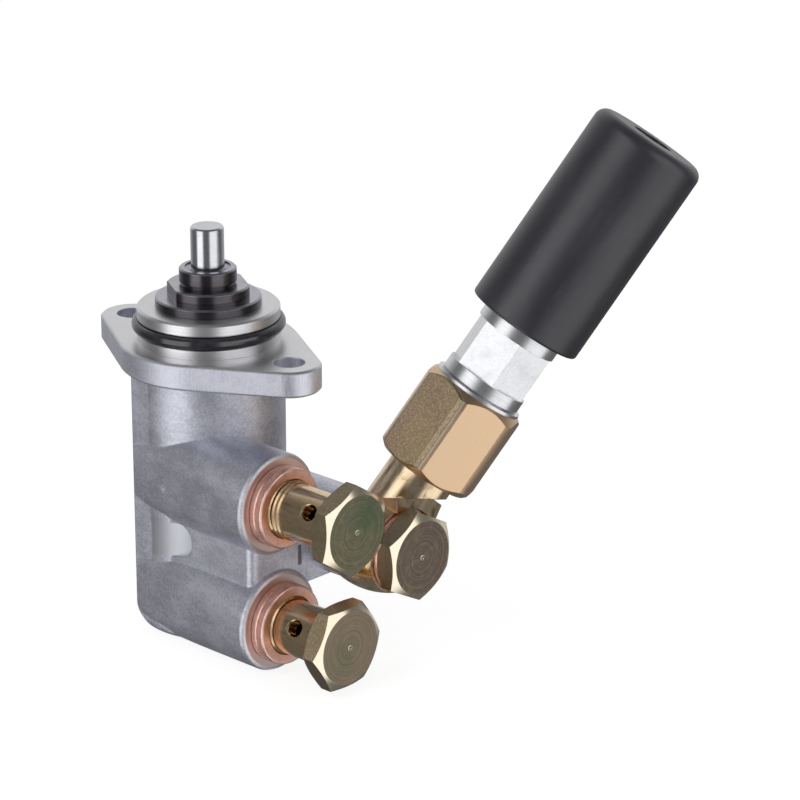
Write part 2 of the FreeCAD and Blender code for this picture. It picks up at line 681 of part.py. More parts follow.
def eye_hub():
    """Barrel-shaped ring of the banjo, along +Z from its rear face."""
    half = EYE_T / 2
    start = FreeCAD.Vector(EYE_END_R, 0, EYE_BACK)
    middle = FreeCAD.Vector(EYE_R, 0, EYE_MID)
    end = FreeCAD.Vector(EYE_END_R, 0, EYE_FRONT)
    low = FreeCAD.Vector(0, 0, EYE_MID - half)
    high = FreeCAD.Vector(0, 0, EYE_MID + half)
    edges = [Part.makeLine(low, start), Part.Arc(start, middle, end).toShape(),
             Part.makeLine(end, high), Part.makeLine(high, low)]
    return Part.Face(Part.Wire(edges)).revolve(FreeCAD.Vector(), UP, 360)


def eye_foot():
    """Block on top of the eye that the stem grows out of."""
    outline = [(-FOOT_LEFT, 0), (FOOT_BASE, 0), (FOOT_CHIN, FOOT_CHIN_H), (FOOT_RIGHT, FOOT_SHOULDER),
               (FOOT_PEAK, FOOT_H), (-FOOT_LEFT, FOOT_H)]
    front = EYE_FRONT + FOOT_STAND_OUT
    corners = [FreeCAD.Vector(x, z, front - FOOT_DEPTH) for x, z in outline]
    face = Part.Face(Part.makePolygon(corners + corners[:1]))
    return face.extrude(UP * FOOT_DEPTH)


def primer_banjo():
    """Banjo eye, foot and stem in one forging, with its fuel way."""
    hub = out_of_port(eye_hub(), PRIMER_X, PRIMER_Z)
    foot = eye_foot()
    foot.rotate(FreeCAD.Vector(), FreeCAD.Vector(1, 0, 0), 90)
    foot.translate(FreeCAD.Vector(PRIMER_X, 0, PRIMER_Z))
    collar = NUT_FROM + NUT_LIP
    stem = on_primer_axis(revolved([
        (0, 0), (STEM_R, 0), (STEM_R, collar), (STEM_COLLAR_R, collar),
        (STEM_COLLAR_R, STEM_TOP), (0, STEM_TOP)]))
    above = foot_top()
    body = hub.fuse([foot.cut(above), stem.common(above)])
    spot = out_of_port(cylinder(SPOT_R, EYE_FRONT, EYE_FRONT + 4 * EYE_R), PRIMER_X, PRIMER_Z)
    low_spot = spot.cut(above)
    bore = out_of_port(cylinder(BOLT_THREAD_R + EYE_BORE_GAP, 0, 4 * EYE_FRONT), PRIMER_X, PRIMER_Z)
    low_bore = bore.common(out_of_port(cylinder(2 * EYE_R, EYE_BACK - 1, EYE_FRONT + 1), PRIMER_X, PRIMER_Z))
    channel = out_of_port(
        cylinder(BOLT_THREAD_R + EYE_BORE_GAP + EYE_CHANNEL,
                 EYE_MID - EYE_CHANNEL_WIDTH / 2, EYE_MID + EYE_CHANNEL_WIDTH / 2),
        PRIMER_X, PRIMER_Z)
    way = on_primer_axis(cylinder(STEM_BORE_R, 0, STEM_TOP + 1))
    for cut in (low_spot, low_bore, channel, way):
        body = body.cut(cut)
    return body.removeSplitter()


def primer_union_nut():
    """Hexagon union nut, chamfered at both ends, closed in round the stem."""
    body = hexagon(NUT_FLATS, NUT_FROM, NUT_TO, NUT_TURN)
    rim = NUT_CORNER_R - NUT_CHAMFER
    limit = revolved([
        (0, NUT_FROM), (rim, NUT_FROM), (NUT_CORNER_R, NUT_FROM + NUT_CHAMFER),
        (NUT_CORNER_R, NUT_TO - NUT_CHAMFER), (rim, NUT_TO), (0, NUT_TO)])
    throat = cylinder(STEM_R + THREAD_GAP, NUT_FROM - 1, NUT_FROM + NUT_LIP + 1)
    thread = cylinder(SLEEVE_NECK_R + THREAD_GAP, NUT_FROM + NUT_LIP, NUT_TO + 1)
    return on_primer_axis(body.common(limit).cut(throat.fuse(thread)))


def primer_lock_ring():
    """Thin bright ring between the union nut and the primer barrel."""
    return on_primer_axis(tube(SLEEVE_NECK_R + THREAD_GAP, LOCK_RING_R, NUT_TO, NUT_TO + LOCK_RING_H))


def primer_sleeve():
    """Primer barrel: threaded neck, round rings and a hexagon between them."""
    shoulder = NUT_TO + LOCK_RING_H
    edge = SLEEVE_R - SLEEVE_EDGE
    round_part = revolved([
        (0, STEM_TOP), (SLEEVE_NECK_R, STEM_TOP), (SLEEVE_NECK_R, shoulder), (edge, shoulder),
        (SLEEVE_R, shoulder + SLEEVE_EDGE), (SLEEVE_R, SLEEVE_TOP - SLEEVE_EDGE), (edge, SLEEVE_TOP),
        (0, SLEEVE_TOP)])
    ring = tube(SLEEVE_FLATS / 4, 2 * SLEEVE_R, SLEEVE_FLATS_FROM, SLEEVE_FLATS_TO)
    flats = ring.cut(hexagon(SLEEVE_FLATS, SLEEVE_FLATS_FROM, SLEEVE_FLATS_TO, SLEEVE_TURN))
    bore_low = PRIMER_PISTON_AT - CUP_SEAL_H
    bore = cylinder(SLEEVE_BORE_R, bore_low, SLEEVE_BORE_TO)
    inlet = cylinder(STEM_BORE_R, STEM_TOP - 1, bore_low + 1)
    gland = cylinder(ROD_R + RUNNING_FIT, SLEEVE_BORE_TO - 1, SLEEVE_TOP + 1)
    return on_primer_axis(round_part.cut(flats).cut(bore.fuse([inlet, gland])))


def primer_piston():
    """Primer piston with the groove of its cup seal."""
    radius = SLEEVE_BORE_R - RUNNING_FIT
    low = PRIMER_PISTON_AT
    high = low + PRIMER_PISTON_L
    body = cylinder(radius, low, high)
    groove_low = low + (PRIMER_PISTON_L - CUP_SEAL_H) / 2
    groove = tube(radius - CUP_SEAL_DEPTH, radius + 1, groove_low, groove_low + CUP_SEAL_H)
    return on_primer_axis(body.cut(groove))


def primer_cup_seal():
    """Seal ring in the groove of the primer piston."""
    radius = SLEEVE_BORE_R - RUNNING_FIT
    low = PRIMER_PISTON_AT + (PRIMER_PISTON_L - CUP_SEAL_H) / 2
    return on_primer_axis(tube(radius - CUP_SEAL_DEPTH, radius, low, low + CUP_SEAL_H))


def primer_rod():
    """Rod from the primer piston up into the head of the knob."""
    return on_primer_axis(cylinder(ROD_R, PRIMER_PISTON_AT + PRIMER_PISTON_L, CAVITY_TO))


def primer_knob():
    """Deep cup knob over the primer barrel, with a round recess in its top."""
    outer = cylinder(KNOB_R, KNOB_FROM, KNOB_TO)
    top = [e for e in outer.Edges if e.BoundBox.ZMin > KNOB_TO - 0.01]
    outer = outer.makeFillet(KNOB_TOP_EDGE, top)
    low = [e for e in outer.Edges if e.BoundBox.ZMax < KNOB_FROM + 0.01]
    outer = outer.makeFillet(KNOB_LOW_EDGE, low)
    cavity = cylinder(SLEEVE_R + KNOB_WALL_GAP, KNOB_FROM - 1, CAVITY_TO)
    recess = revolved([
        (0, KNOB_TO - KNOB_RECESS_DEPTH), (KNOB_RECESS_R - KNOB_RECESS_EDGE, KNOB_TO - KNOB_RECESS_DEPTH),
        (KNOB_RECESS_R, KNOB_TO - KNOB_RECESS_DEPTH + KNOB_RECESS_EDGE), (KNOB_RECESS_R, KNOB_TO + 1),
        (0, KNOB_TO + 1)])
    return on_primer_axis(outer.cut(cavity.fuse(recess)))


def all_parts():
    """Every piece of the pump by its node name."""
    parts = {
        "pump_housing": pump_housing(),
        "flange_ring": flange_ring(),
        "tappet_guide": tappet_guide(),
        "guide_seal_ring": guide_seal_ring(),
        "pin_seal": pin_seal(),
        "push_pin": push_pin(),
        "pump_piston": pump_piston(),
        "piston_spring": piston_spring(),
        "outlet_bolt": placed_bolt(
            PORT_X, PORT_TOP_Z, WASHERS_OUT + TOP_BOLT_OUT, TOP_BOLT_TURN, TOP_DRILL_TURN, TOP_DRILL_AT),
        "inlet_bolt": placed_bolt(
            PORT_X, PORT_LOW_Z, WASHERS_OUT + LOW_BOLT_OUT, LOW_BOLT_TURN, LOW_DRILL_TURN, LOW_DRILL_AT),
        "primer_bolt": placed_bolt(
            PRIMER_X, PRIMER_Z, PRIMER_BOLT_SEAT, PRIMER_BOLT_TURN, PRIMER_DRILL_TURN, PRIMER_DRILL_AT),
        "primer_washer_inner": placed_washer(PRIMER_WASHER_T, PRIMER_X, PRIMER_Z, PRIMER_FACE),
        "primer_washer_outer": placed_washer(PRIMER_WASHER_T, PRIMER_X, PRIMER_Z, EYE_FRONT),
        "primer_banjo": primer_banjo(),
        "primer_union_nut": primer_union_nut(),
        "primer_lock_ring": primer_lock_ring(),
        "primer_sleeve": primer_sleeve(),
        "primer_piston": primer_piston(),
        "primer_cup_seal": primer_cup_seal(),
        "primer_rod": primer_rod(),
        "primer_knob": primer_knob(),
        "outlet_valve_stop": out_of_port(valve_stop(), PORT_X, PORT_TOP_Z),
    }
    for name, z, outward in (("outlet", PORT_TOP_Z, True), ("inlet", PORT_LOW_Z, False)):
        parts[name + "_washer_inner"] = placed_washer(WASHER_T, PORT_X, z, PORT_FACE)
        parts[name + "_washer_outer"] = placed_washer(WASHER_T, PORT_X, z, PORT_FACE + WASHER_T)
        parts[name + "_valve_seat"] = out_of_port(valve_seat(outward), PORT_X, z)
        parts[name + "_valve_plate"] = out_of_port(valve_plate(outward), PORT_X, z)
        parts[name + "_valve_spring"] = out_of_port(valve_spring(outward), PORT_X, z)
    return parts


os.makedirs("parts", exist_ok=True)
for node, shape in all_parts().items():
    shape.exportStep("parts/" + node + ".step")
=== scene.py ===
"""Finishes, screw threads and studio for a fuel lift pump."""

import json
import logging
import math
from dataclasses import dataclass
from enum import Enum
from typing import Mapping, Optional, Sequence, Union

import bmesh
import bpy
from mathutils import Matrix, Vector

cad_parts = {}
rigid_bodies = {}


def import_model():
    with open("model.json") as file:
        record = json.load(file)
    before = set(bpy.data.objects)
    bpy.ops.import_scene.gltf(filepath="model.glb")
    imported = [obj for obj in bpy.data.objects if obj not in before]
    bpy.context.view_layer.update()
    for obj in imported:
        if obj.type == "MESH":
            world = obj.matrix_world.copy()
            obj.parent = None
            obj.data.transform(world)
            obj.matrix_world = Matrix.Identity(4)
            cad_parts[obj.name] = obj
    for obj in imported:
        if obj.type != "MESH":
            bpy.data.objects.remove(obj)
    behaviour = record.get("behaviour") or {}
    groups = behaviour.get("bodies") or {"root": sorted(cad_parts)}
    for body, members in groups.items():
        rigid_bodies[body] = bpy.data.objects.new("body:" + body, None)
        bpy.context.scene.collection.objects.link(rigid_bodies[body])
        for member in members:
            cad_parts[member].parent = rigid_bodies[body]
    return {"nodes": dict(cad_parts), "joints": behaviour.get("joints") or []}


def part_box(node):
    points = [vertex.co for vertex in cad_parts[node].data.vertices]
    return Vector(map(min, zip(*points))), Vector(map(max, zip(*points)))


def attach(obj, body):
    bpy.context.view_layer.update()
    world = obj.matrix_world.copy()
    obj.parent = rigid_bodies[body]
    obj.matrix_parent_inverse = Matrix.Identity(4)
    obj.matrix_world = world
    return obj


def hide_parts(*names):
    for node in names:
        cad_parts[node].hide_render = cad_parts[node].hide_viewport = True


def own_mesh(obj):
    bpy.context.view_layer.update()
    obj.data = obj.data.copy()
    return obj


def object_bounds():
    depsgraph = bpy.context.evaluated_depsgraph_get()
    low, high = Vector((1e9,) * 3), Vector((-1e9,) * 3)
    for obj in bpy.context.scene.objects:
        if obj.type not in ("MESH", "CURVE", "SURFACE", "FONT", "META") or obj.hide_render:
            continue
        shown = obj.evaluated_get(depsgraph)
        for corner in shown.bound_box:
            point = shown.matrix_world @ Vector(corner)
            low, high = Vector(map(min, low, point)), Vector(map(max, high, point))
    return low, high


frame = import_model()
CAD_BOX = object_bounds()
LOG = logging.getLogger("fuel_lift_pump")

Rgb = tuple[float, float, float]
Triple = tuple[float, float, float]
MILLIMETRE = 0.001
MICROMETRE = 0.001 * MILLIMETRE
WHITE = (1.0, 1.0, 1.0)


class Value:
    """A number inside a shader. Arithmetic on it adds Math nodes."""

    def __init__(self, graph: "Graph", socket: bpy.types.NodeSocket) -> None:
        """Keep the node tree and the output socket that carries the number."""
        self.graph = graph
        self.socket = socket

    def _math(self, operation: str, *terms: "Number") -> "Value":
        """Add a Math node with its inputs in order, and return its result."""
        node = self.graph.node("ShaderNodeMath", {"operation": operation}, dict(enumerate(terms)))
        return Value(self.graph, node.outputs[0])

    def __add__(self, other: "Number") -> "Value":
        """Sum."""
        return self._math("ADD", self, other)

    def __radd__(self, other: "Number") -> "Value":
        """Sum with a plain number first."""
        return self._math("ADD", other, self)

    def __sub__(self, other: "Number") -> "Value":
        """Difference."""
        return self._math("SUBTRACT", self, other)

    def __rsub__(self, other: "Number") -> "Value":
        """Difference with a plain number first."""
        return self._math("SUBTRACT", other, self)

    def __mul__(self, other: "Number") -> "Value":
        """Product."""
        return self._math("MULTIPLY", self, other)

    def __rmul__(self, other: "Number") -> "Value":
        """Product with a plain number first."""
        return self._math("MULTIPLY", other, self)

    def __neg__(self) -> "Value":
        """Opposite number."""
        return self._math("MULTIPLY", self, -1.0)

    def __abs__(self) -> "Value":
        """Size without sign."""
        return self._math("ABSOLUTE", self)

    def at_most(self, limit: float) -> "Value":
        """The number, held at a limit."""
        return self._math("MINIMUM", self, limit)

    def root(self) -> "Value":
        """Square root."""
        return self._math("SQRT", self)

    def bearing(self, across: "Value") -> "Value":
        """Angle of the point (across, self), in radians."""
        return self._math("ARCTAN2", self, across)

    def over(self, edge: float, soft: float) -> "Value":
        """Mask that rises from 0 to 1 as the number passes an edge.

        Args:
            edge: Where the mask is a half.
            soft: Half the width of the rise.

        Returns:
            A number from 0 to 1.
        """
        node = self.graph.node(
            "ShaderNodeMapRange", {"interpolation_type": "SMOOTHSTEP"},
            {"Value": self, "From Min": edge - soft, "From Max": edge + soft})
        return Value(self.graph, node.outputs["Result"])

    def under(self, edge: float, soft: float) -> "Value":
        """Mask that falls from 1 to 0 as the number passes an edge."""
        return 1.0 - self.over(edge, soft)

    def between(self, low: float, high: float, soft: float) -> "Value":
        """Mask that is 1 between two edges."""
        return self.over(low, soft) * self.under(high, soft)


Number = Union[float, Value]
Colour = Union[Rgb, bpy.types.NodeSocket]


@dataclass(frozen=True)
class Seat:
    """Where a piece's own axis lies in the pump's frame.

    Attributes:
        origin: A point on the axis, in millimetres.
        turn: Turn of the axis about X, then Y, then Z, in degrees.
    """

    origin: Triple = (0.0, 0.0, 0.0)
    turn: Triple = (0.0, 0.0, 0.0)

    def radians(self) -> Triple:
        """Turn in radians."""
        return tuple(math.radians(angle) for angle in self.turn)

    def matrix(self) -> Matrix:
        """Transform that lays a piece made along +Z, in metres, on this seat.

        Returns:
            The transform.
        """
        place = Matrix.Translation(Vector(self.origin) * MILLIMETRE)
        about_x, about_y, about_z = self.radians()
        turn = Matrix.Rotation(about_z, 4, "Z") @ Matrix.Rotation(about_y, 4, "Y")
        return place @ (turn @ Matrix.Rotation(about_x, 4, "X"))


class Local:
    """Coordinates of a surface point on its own seat, in millimetres."""

    def __init__(self, graph: "Graph", vector: bpy.types.NodeSocket) -> None:
        """Split the position into its parts.

        Args:
            graph: The node tree.
            vector: Socket with the position in millimetres.
        """
        parts = graph.node("ShaderNodeSeparateXYZ", {}, {0: vector}).outputs
        self.graph = graph
        self.vector = vector
        self.x = Value(graph, parts[0])
        self.y = Value(graph, parts[1])
        self.z = Value(graph, parts[2])
        self.radius = (self.x * self.x + self.y * self.y).root()

    def distance(self, x: float, y: float) -> Value:
        """Distance from the line through x and y that is parallel to the axis."""
        across, along = self.x - x, self.y - y
        return (across * across + along * along).root()

    def reach(self, bearing: float) -> Value:
        """Distance from the axis along a bearing that is given in degrees."""
        angle = math.radians(bearing)
        return self.x * math.cos(angle) + self.y * math.sin(angle)

    def stretched(self, x: float, y: float, z: float) -> bpy.types.NodeSocket:
        """Position with each direction scaled by itself."""
        return self.graph.node(
            "ShaderNodeVectorMath", {"operation": "MULTIPLY"}, {0: self.vector, 1: (x, y, z)}).outputs[0]

    def round_lines(self, across: float, along: float) -> bpy.types.NodeSocket:
        """Scaled radius and height, for tool marks that run round the axis."""
        return self.graph.node(
            "ShaderNodeCombineXYZ", {}, {0: self.radius * across, 1: 0.0, 2: self.z * along}).outputs[0]


class Graph:
    """A node tree with one method that makes any node."""

    def __init__(self, tree: bpy.types.NodeTree) -> None:
        """Empty the node tree of a material or the world."""
        self.tree = tree
        tree.nodes.clear()

    def node(self, kind: str, settings: Optional[Mapping[str, object]] = None,
             sockets: Optional[Mapping[Union[int, str], object]] = None) -> bpy.types.Node:
        """Make a node, set it up, then fill its sockets.

        Args:
            kind: Blender's name of the node type.
            settings: Properties set first; "stops" fills a colour ramp.
            sockets: Value or link for each input, by name or number.

        Returns:
            The new node.
        """
        node = self.tree.nodes.new(kind)
        for name, value in (settings or {}).items():
            if name == "stops":
                self._fill_ramp(node.color_ramp, value)
            else:
                setattr(node, name, value)
        for name, value in (sockets or {}).items():
            self.feed(node.inputs[name], value)
        return node

    @staticmethod
    def _fill_ramp(ramp: bpy.types.ColorRamp, stops: Sequence[tuple[float, Rgb]]) -> None:
        """Set the stops of a colour ramp.

        Args:
            ramp: The ramp to fill.
            stops: Position and colour of each stop, in order.
        """
        while len(ramp.elements) < len(stops):
            ramp.elements.new(1.0)
        for element, (position, colour) in zip(ramp.elements, stops):
            element.position = position
            element.color = (*colour, 1.0)

    def feed(self, socket: bpy.types.NodeSocket, value: object) -> None:
        """Link an output to a socket, or write a constant on it.

        Args:
            socket: The input to fill.
            value: A Value, an output socket, a number or a tuple.
        """
        if isinstance(value, Value):
            self.tree.links.new(value.socket, socket)
        elif isinstance(value, bpy.types.NodeSocket):
            self.tree.links.new(value, socket)
        elif socket.type == "RGBA":
            socket.default_value = (*value, 1.0)
        else:
            socket.default_value = value

    def local(self, seat: Seat) -> Local:
        """Position on a seat, in millimetres.

        Args:
            seat: The seat whose axis becomes Z.

        Returns:
            The position and its parts.
        """
        source = self.node("ShaderNodeTexCoord").outputs["Object"]
        large = self.node("ShaderNodeVectorMath", {"operation": "SCALE"}, {
            0: source, "Scale": 1.0 / MILLIMETRE})
        moved = self.node("ShaderNodeMapping", {"vector_type": "TEXTURE"}, {
            "Vector": large.outputs[0], "Location": seat.origin, "Rotation": seat.radians()})
        return Local(self, moved.outputs[0])

    def noise(self, vector: bpy.types.NodeSocket, scale: float = 1.0, detail: float = 3.0,
              roughness: float = 0.55, distortion: float = 0.0) -> Value:
        """Fractal noise from 0 to 1.

        Args:
            vector: Position in millimetres.
            scale: Patterns per unit of the vector.
            detail: Octaves.
            roughness: Weight of the finer octaves.
            distortion: How far the pattern is stirred.

        Returns:
            The noise.
        """
        node = self.node("ShaderNodeTexNoise", {}, {
            "Vector": vector, "Scale": scale, "Detail": detail, "Roughness": roughness,
            "Distortion": distortion})
        return Value(self, node.outputs["Fac"])

    def cells(self, vector: bpy.types.NodeSocket, scale: float) -> Value:
        """Distance to the nearest of many scattered points, in cells."""
        node = self.node("ShaderNodeTexVoronoi", {}, {"Vector": vector, "Scale": scale})
        return Value(self, node.outputs["Distance"])

    def mix(self, first: Colour, second: Colour, factor: Number) -> bpy.types.NodeSocket:
        """Blend from a first colour at factor 0 to a second at factor 1."""
        node = self.node("ShaderNodeMix", {"data_type": "RGBA"}, {0: factor, 6: first, 7: second})
        return node.outputs[2]

    def ramp(self, factor: Value, stops: Sequence[tuple[float, Rgb]]) -> bpy.types.NodeSocket:
        """Colour read off a ramp."""
        return self.node("ShaderNodeValToRGB", {"stops": stops}, {0: factor}).outputs[0]

    def eased_edges(self, radius: float) -> bpy.types.NodeSocket:
        """Normal with sharp edges rounded off by a radius in millimetres."""
        return self.node("ShaderNodeBevel", {"samples": 4}, {"Radius": radius * MILLIMETRE}).outputs[0]

    def bump(self, height: Value, depth: float,
             normal: Optional[bpy.types.NodeSocket] = None) -> bpy.types.NodeSocket:
        """Relief from a height.

        Args:
            height: Height from 0 to 1.
            depth: Depth of the relief, in millimetres.
            normal: Normal to start from.

        Returns:
            Socket with the new normal.
        """
        sockets = {"Height": height, "Distance": depth * MILLIMETRE, "Strength": 1.0}
        if normal is not None:
            sockets["Normal"] = normal
        return self.node("ShaderNodeBump", {}, sockets).outputs[0]

    def rays(self) -> tuple[Value, Value, Value]:
        """Masks of the camera's rays, of mirrored rays and of transmitted rays."""
        kind = self.node("ShaderNodeLightPath").outputs
        return tuple(Value(self, kind["Is %s Ray" % name]) for name in ("Camera", "Glossy", "Transmission"))


@dataclass(frozen=True)
class Finish:
    """Base of every finish: a name, a seat, its relief and its surface. Lengths are in millimetres.

    Attributes:
        name: Name of the material.
        seat: Seat that the pattern follows.
        depth: Depth of the relief.
        edge: Rounding of sharp edges.
    """

    name: str
    seat: Seat = Seat()
    depth: float = 0.03
    edge: float = 0.15

    def surface(self, graph: Graph, here: Local) -> dict[str, object]:
        """Value or link for each named input of the surface shader."""
        raise NotImplementedError

    def relief(self, graph: Graph, height: Value) -> bpy.types.NodeSocket:
        """Normal of the relief, over edges that are rounded off."""
        return graph.bump(height, self.depth, graph.eased_edges(self.edge))

    def metal(self, graph: Graph, colour: Colour, rough: Value, height: Value) -> dict[str, object]:
        """Inputs of the surface shader for bare metal."""
        normal = self.relief(graph, height)
        return {"Base Color": colour, "Metallic": 1.0, "Roughness": rough, "Normal": normal}

    def facing(self, graph: Graph) -> Value:
        """How squarely the surface faces along its seat's axis, from -1 to 1.

        Args:
            graph: The material's nodes.

        Returns:
            The cosine of the angle between the two.
        """
        normal = graph.node("ShaderNodeTexCoord").outputs["Normal"]
        axis = self.seat.matrix().to_3x3() @ Vector((0.0, 0.0, 1.0))
        product = graph.node("ShaderNodeVectorMath", {"operation": "DOT_PRODUCT"}, {
            0: normal, 1: tuple(axis)})
        return Value(graph, product.outputs["Value"])

    def material(self) -> bpy.types.Material:
        """Build the material.

        Returns:
            The finished material.
        """
        material = bpy.data.materials.new(self.name)
        material.use_nodes = True
        graph = Graph(material.node_tree)
        inputs = self.surface(graph, graph.local(self.seat))
        shader = graph.node("ShaderNodeBsdfPrincipled", {}, inputs)
        graph.node("ShaderNodeOutputMaterial", {}, {"Surface": shader.outputs[0]})
        return material


@dataclass(frozen=True)
class CastHousing(Finish):
    """Die-cast aluminium with machined collar, flange top and boss faces, in the pump's frame.

    Attributes:
        light: Colour of the light specks in the skin.
        dark: Colour of the dull ground between them.
        pitted: Colour in the small pits.
        machined: Colour of the machined faces.
        tooled: Colour in their tool marks.
        painted_copper_reflection: Painted reflection that the copper rings cast on the port faces.
        bared: Colour of the smooth barrel in the hollow.
        shadow: Painted shade in the slot.
        pits: Pits per millimetre.
        mounting_face: Height above which all is machined.
        flange_depth: Depth of the flange below the mounting face.
        bosses_from: Height under which the bosses lie.
        barrel_radius: Radius of the barrel.
        hollow_nose: Middle of the hollow's round nose, along Y and Z.
        hollow_tilt: Fall of the hollow to the rear, in degrees.
        hollow_radius: Half the height of the hollow.
        hollow_ends: Where the hollow ends along X and Y.
        slot_middle: Middle of the slot in the wall, along X.
        slot_half: Half the width of the slot.
        slot_ends: Lower and upper end of the slot.
        wall_front: Depths between which the wall's front lies.
        port_face: How far out the port bosses' faces lie.
        primer_face: How far out the primer boss's face lies.
    """

    light: Rgb = (0.78, 0.79, 0.88)
    dark: Rgb = (0.55, 0.56, 0.64)
    pitted: Rgb = (0.22, 0.22, 0.24)
    machined: Rgb = (0.84, 0.84, 0.86)
    tooled: Rgb = (0.62, 0.62, 0.64)
    painted_copper_reflection: Rgb = (0.74, 0.58, 0.54)
    bared: Rgb = (0.62, 0.63, 0.67)
    shadow: Rgb = (0.12, 0.12, 0.14)
    pits: float = 0.45
    depth: float = 0.045
    edge: float = 0.45
    mounting_face: float = -0.25
    flange_depth: float = 7.2
    bosses_from: float = -12.0
    barrel_radius: float = 20.5
    hollow_nose: tuple[float, float] = (-8.04, -51.06)
    hollow_tilt: float = 10.0
    hollow_radius: float = 4.85
    hollow_ends: tuple[float, float] = (-8.0, 2.6)
    slot_middle: float = -2.2
    slot_half: float = 0.6
    slot_ends: tuple[float, float] = (-55.4, -49.9)
    wall_front: tuple[float, float] = (35.8, 36.3)
    port_face: float = 37.4
    primer_face: float = 41.6

    def surface(self, graph: Graph, here: Local) -> dict[str, object]:
        """Speckled skin, tool marks and small dings.

        Args:
            graph: The material's nodes.
            here: Position in the pump's frame.

        Returns:
            Inputs of the surface shader.
        """
        clouds = graph.noise(here.vector, scale=0.1, roughness=0.5, distortion=0.4)
        flow = graph.noise(here.stretched(1.0, 0.3, 1.0), 0.5, detail=4.0, roughness=0.6, distortion=0.5)
        speckle = graph.noise(here.vector, scale=1.4, roughness=0.78)
        fine = graph.noise(here.vector, scale=3.6, detail=2.0, roughness=0.7)
        mottle = clouds * 0.26 + flow * 0.24 + speckle * 0.5
        gathered = graph.noise(here.vector, scale=0.2).over(0.5, 0.06)
        pits = graph.cells(here.vector, self.pits).under(0.08, 0.04) * gathered
        flange = here.z.between(-self.flange_depth - 0.3, 0.0, 0.2)
        scratches = graph.noise(here.stretched(1.8, 1.8, 0.14), roughness=0.65).over(0.58, 0.08) * flange
        skin = graph.mix(self.dark, self.light, mottle.over(0.5, 0.1))
        skin = graph.mix(skin, self.pitted, pits * 0.55)
        skin = graph.mix(skin, self.light, flange * 0.45 + scratches * 0.4)
        bared = self._bared(here)
        strokes = graph.noise(here.stretched(3.0, 3.0, 0.12), roughness=0.7).over(0.5, 0.12)
        skin = graph.mix(skin, graph.mix(self.bared, self.dark, strokes * 0.6), bared)
        slot = self._slot(here)
        # painted shade in the slot
        skin = graph.mix(skin, self.shadow, slot * 0.8)
        ports, cut = self._machined_faces(here)
        lines = graph.noise(here.round_lines(4.0, 4.0), roughness=0.7)
        marked = lines.over(0.5, 0.2) * 0.4 + mottle.over(0.5, 0.15) * 0.3
        colour = graph.mix(skin, graph.mix(self.machined, self.tooled, marked), cut)
        # painted reflection of the copper rings on the port faces
        colour = graph.mix(colour, self.painted_copper_reflection, ports * 0.85)
        relief = speckle * 0.7 + fine * 0.3 - pits * 0.8 + scratches * 0.3
        uncut = 1.0 - cut
        height = relief * uncut * (1.0 - bared * 0.6) + (lines * 0.2 + fine * 0.06) * cut - slot * 6.0
        rough = (mottle * 0.14 + 0.42) * uncut + (lines * 0.08 + 0.30) * cut
        return self.metal(graph, colour, rough, height)

    def _machined_faces(self, here: Local) -> tuple[Value, Value]:
        """Masks of the machined faces.

        Args:
            here: Position in the pump's frame.

        Returns:
            The faces of the two port bosses, and all machined faces together.
        """
        outwards = -here.y
        low = here.z.under(self.bosses_from, 1.0)
        ports = outwards.over(self.port_face, 0.1) * here.x.under(0.0, 0.1) * low
        primer = outwards.over(self.primer_face, 0.1) * here.x.over(0.0, 0.1) * low
        return ports, here.z.over(self.mounting_face, 0.15) + (ports + primer)

    def _bared(self, here: Local) -> Value:
        """Mask of the barrel's surface in the hollow between the two port bosses.

        Args:
            here: Position in the pump's frame.

        Returns:
            A number from 0 to 1.
        """
        nose_y, nose_z = self.hollow_nose
        side, rear = self.hollow_ends
        tilt = math.radians(self.hollow_tilt)
        along = (here.y - nose_y) * math.cos(tilt) - (here.z - nose_z) * math.sin(tilt)
        across = (here.y - nose_y) * math.sin(tilt) + (here.z - nose_z) * math.cos(tilt)
        ahead = along.at_most(0.0)
        reach = (ahead * ahead + across * across).root()
        outline = reach.under(self.hollow_radius, 0.12) * here.y.under(rear, 0.2) * here.x.under(side, 0.5)
        return outline * abs(here.radius - self.barrel_radius).under(0.2, 0.08)

    def _slot(self, here: Local) -> Value:
        """Mask of the narrow upright slot in the wall beside the port bosses.

        Args:
            here: Position in the pump's frame.

        Returns:
            A number from 0 to 1.
        """
        front = (-here.y).between(*self.wall_front, 0.1)
        width = abs(here.x - self.slot_middle).under(self.slot_half, 0.15)
        return front * width * here.z.between(*self.slot_ends, 0.3)


@dataclass(frozen=True)
class TurnedMetal(Finish):
    """Metal with tool marks that run round its own axis.

    Attributes:
        colour: Main colour.
        shade: Colour in the deeper marks.
        top: Colour of the faces that look along the axis, a painted sheen with some worn phosphate; None
            leaves them unchanged.
        rough: Roughness of the clean metal.
        spread: How far the roughness varies.
        pitch: Tool marks per millimetre.
    """

    colour: Rgb = (0.75, 0.75, 0.76)
    shade: Rgb = (0.55, 0.55, 0.57)
    top: Optional[Rgb] = None
    rough: float = 0.2
    spread: float = 0.12
    pitch: float = 6.0
    depth: float = 0.006

    def surface(self, graph: Graph, here: Local) -> dict[str, object]:
        """Fine rings, soft smears, a little dirt and, where top is given, a painted sheen with some wear on
        the faces along the axis.

        Args:
            graph: The material's nodes.
            here: Position on the piece's seat.

        Returns:
            Inputs of the surface shader.
        """
        marks = graph.noise(here.round_lines(self.pitch, self.pitch), detail=2.0, roughness=0.6)
        smears = graph.noise(here.vector, scale=0.25, detail=4.0, roughness=0.6)
        dirt = marks.over(0.52, 0.18) * 0.55 + smears.over(0.6, 0.12) * 0.35
        colour = graph.mix(self.colour, self.shade, dirt)
        if self.top is not None:
            # painted sheen, with some worn phosphate, on the faces that look along the axis
            wear_and_painted_sheen = self.facing(graph).over(0.6, 0.3)
            colour = graph.mix(colour, self.top, wear_and_painted_sheen * (smears * 0.5 + 0.6))
        rough = marks * self.spread + smears * self.spread + (self.rough - self.spread)
        return self.metal(graph, colour, rough, marks)


